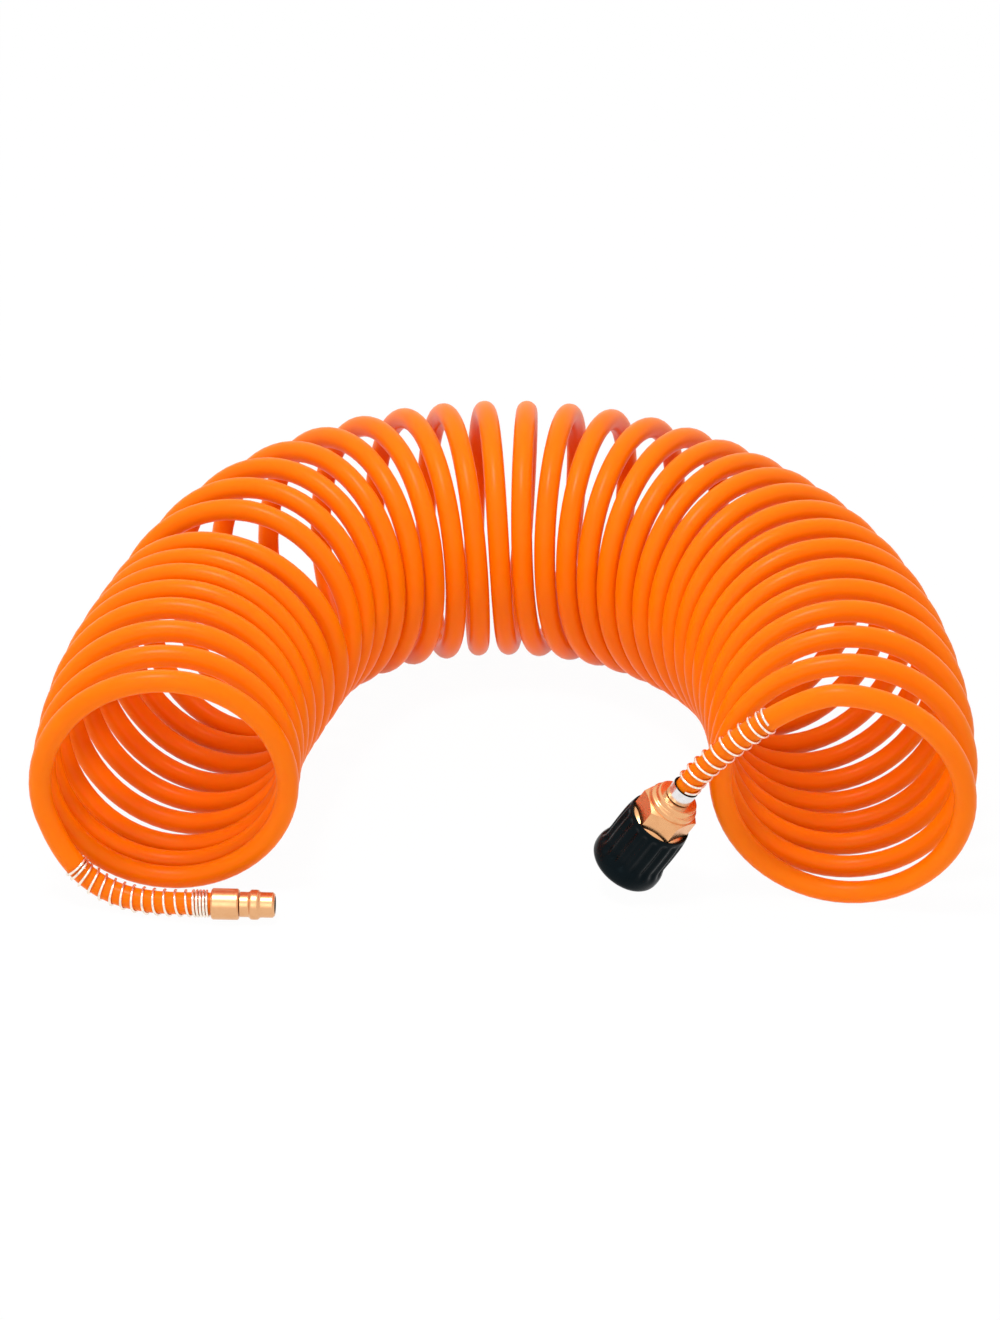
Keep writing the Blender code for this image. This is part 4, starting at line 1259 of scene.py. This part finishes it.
    def grip(self) -> bpy.types.Object:
        """The black ribbed cover of the sleeve, waisted and flared to a rounded lip.

        Returns:
            The piece.
        """
        rear, lip, inside, plain = 19.6, self.sleeve_end + 1.6, 12.5, 0.3
        skin = (
            (20.35, 12.72), (21.2, 12.98), (23.0, 13.20), (26.0, 13.38), (30.0, 13.45),
            (34.0, 13.42), (37.0, 13.36), (38.6, 13.45), (39.8, 13.75), (41.0, 14.15),
            (42.3, 14.48), (43.6, 14.62), (45.2, 14.60), (46.4, 14.40), (47.2, 14.02),
            (47.65, 13.50),
        )
        heights, radii = np.array(skin).T
        fine = np.linspace(heights[0], heights[-1], self.grip_rows)
        smooth = np.interp(fine, heights, radii)
        for _ in range(self.smoothings):
            smooth[1:-1] = (smooth[:-2] + 2 * smooth[1:-1] + smooth[2:]) / 4
        outline = [
            (12.05, rear + 0.1), (12.12, rear), (12.45, rear), (12.62, rear + 0.12),
            *zip(smooth, fine), (13.1, lip - 0.06), (12.7, lip), (11.65, lip), (11.5, lip - 0.1),
            (11.5, 40.1), (10.7, 40.1), (10.7, 26.1), (12.05, 26.1),
        ]
        shape = spun(
            [(radius * MM, height * MM) for radius, height in outline], self.ribs * self.rib_steps
        )
        for vertex in shape.verts:
            radius, height = math.hypot(vertex.co.x, vertex.co.y) / MM, vertex.co.z / MM
            if radius < inside or height < rear + plain:
                continue
            share = self.groove(height, math.atan2(vertex.co.y, vertex.co.x))
            scale = (radius - self.rib_depth * share) / radius
            vertex.co.x *= scale
            vertex.co.y *= scale
        return self.fit(
            "ribbed_grip", "sleeve_grip", shape, Body.SLEEVE, MouldedRubber(),
            sharp=60.0, weighted=False,
        )

    def groove(self, height: float, angle: float) -> float:
        """How deep the grip's grooves are at a place.

        Args:
            height: Height along the axis, in mm.
            angle: Angle round it.

        Returns:
            A share of the full depth.
        """
        (low, fade_in), (high, fade_out), crispness = (20.6, 2.5), (42.2, 4.5), 1.2
        fade = eased((height - low) / fade_in) * eased((high - height) / fade_out)
        wave = 0.5 - 0.5 * math.cos(self.ribs * angle)
        return fade * wave**crispness

    def springs(self) -> list[bpy.types.Object]:
        """The sleeve's spring and the valve's spring."""
        sleeve = InnerSpring(
            "sleeve_return_spring", "sleeve_spring", self.axis, radius=8.55 * MM, wire=0.8 * MM,
            curls=3, start=25.1 * MM, end=32.8 * MM, joint="sleeve_slide", travel=4.5 * MM,
        )
        valve = InnerSpring(
            "valve_return_spring", "valve_spring", self.axis, radius=3.8 * MM, wire=0.6 * MM,
            curls=5, start=12.2 * MM, end=21.2 * MM, joint="valve_slide", travel=4.0 * MM,
        )
        return [sleeve.build(), valve.build()]


# ---- Studio --------------------------------------------------------------------------
@dataclass
class Studio:
    """The white floor, the soft light and the camera."""

    shift: tuple[float, float, float]
    elevation: float = math.radians(32.7)
    distance: float = 1.605
    focal_pixels: float = 3986.8
    frame_height: int = 1320
    target_height: float = 0.05
    floor_size: float = 12.0
    floor_drop: float = 0.1 * MM
    sky: float = 0.74
    # Name, place, side and power of each lamp.
    lamps: tuple[tuple[str, Corner, float, float], ...] = (
        ("key_lamp", (-0.3, -0.3, 2.0), 0.36, 24.0),
        ("front_lamp", (-0.3, -1.7, 1.1), 0.9, 4.0),
    )

    def camera(self) -> None:
        """Stand the camera where the photograph was taken."""
        data = bpy.data.cameras.new("camera")
        data.sensor_width = 36.0
        data.lens = self.focal_pixels * data.sensor_width / self.frame_height
        data.clip_start, data.clip_end = 0.05, 50.0
        camera = placed("camera", data)
        back = Vector((0.0, -math.cos(self.elevation), math.sin(self.elevation)))
        target = Vector((0.0, 0.0, self.target_height)) + Vector(self.shift)
        camera.location = target + back * self.distance
        camera.rotation_euler = (math.pi / 2 - self.elevation, 0.0, 0.0)
        bpy.context.scene.camera = camera

    def floor(self) -> None:
        """Lay the white floor at the ground."""
        shape = bmesh.new()
        bmesh.ops.create_grid(shape, x_segments=4, y_segments=4, size=self.floor_size / 2)
        mesh = meshed("floor", shape)
        mesh.transform(Matrix.Translation((0.0, 0.0, -self.floor_drop)))
        mesh.materials.append(PaintedFloor().dress("studio_floor_white_paint"))
        placed("studio_floor", mesh)

    def world(self) -> None:
        """An even sky: white to the eye and in reflections, softer as light."""
        world = bpy.data.worlds.new("studio")
        bpy.context.scene.world = world
        world.use_nodes = True
        tree = world.node_tree
        tree.nodes.clear()
        strength = add(
            tree, "MapRange", {"Value": sees_white(tree), "To Min": self.sky, "To Max": 1.0}
        )
        glow = add(tree, "Background", {"Color": (1, 1, 1, 1), "Strength": strength.outputs[0]})
        add(tree, "OutputWorld", {0: glow.outputs[0]})

    def lamp(self, name: str, place: Corner, size: float, watts: float) -> None:
        """Hang one soft square lamp that faces the part.

        Args:
            name: Its name.
            place: Where it hangs.
            size: Its side.
            watts: Its power.
        """
        data = bpy.data.lights.new(name, "AREA")
        data.shape = "SQUARE"
        data.size = size
        data.energy = watts
        lamp = placed(name, data)
        lamp.location = place
        lamp.rotation_euler = (-Vector(place)).to_track_quat("-Z", "Y").to_euler()

    def build(self) -> None:
        """Set up the floor, the light and the colour handling."""
        self.floor()
        self.world()
        for name, place, size, watts in self.lamps:
            self.lamp(name, place, size, watts)
        bpy.context.scene.view_settings.view_transform = "Standard"


# ---- The whole scene -----------------------------------------------------------------
def guard_springs(route: HoseRoute) -> list[bpy.types.Object]:
    """Make both guard springs.

    Args:
        route: The hose's route.

    Returns:
        The springs, the plug's first.
    """
    line = route.whole()
    # The axis, the hose from that fitting, and the pitch of each curl in mm from the ferrule.
    guards = {
        "plug_guard": (
            route.plug_axis(), line,
            (1.25, 1.25, 1.25, 1.25, 1.3, 3.4, *([4.4] * 9), 4.0, 2.4, 1.4),
        ),
        "coupler_guard": (
            route.coupler_axis(), line[::-1],
            (4.0, 4.3, 4.1, 4.3, 4.5, 4.8, 4.5, 4.7, 4.5, 3.7, 2.2),
        ),
    }
    made = []
    for name, (axis, points, pitches) in guards.items():
        start, ahead = np.array(axis @ Vector((0, 0, GUARD_START))), np.array(axis.col[2].xyz)
        behind = [point for point in points if np.dot(point - start, ahead) < 0][:GUARD_POINTS]
        spring = GuardSpring(name, np.array([start, *behind]), tuple(mm * MM for mm in pitches))
        made.append(spring.build())
    return made


def main() -> None:
    """Build the studio and every piece."""
    logging.basicConfig(level=logging.INFO, format="%(name)s: %(message)s")
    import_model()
    route = HoseRoute()
    studio = Studio(route.shift)
    studio.camera()
    hose = Hose(route)
    tube = hose.build()
    fittings = guard_springs(route)
    fittings += Plug(route.plug_axis()).build()
    fittings += Coupler(route.coupler_axis()).build()
    hose.declare()
    studio.build()


if __name__ == "__main__":
    main()
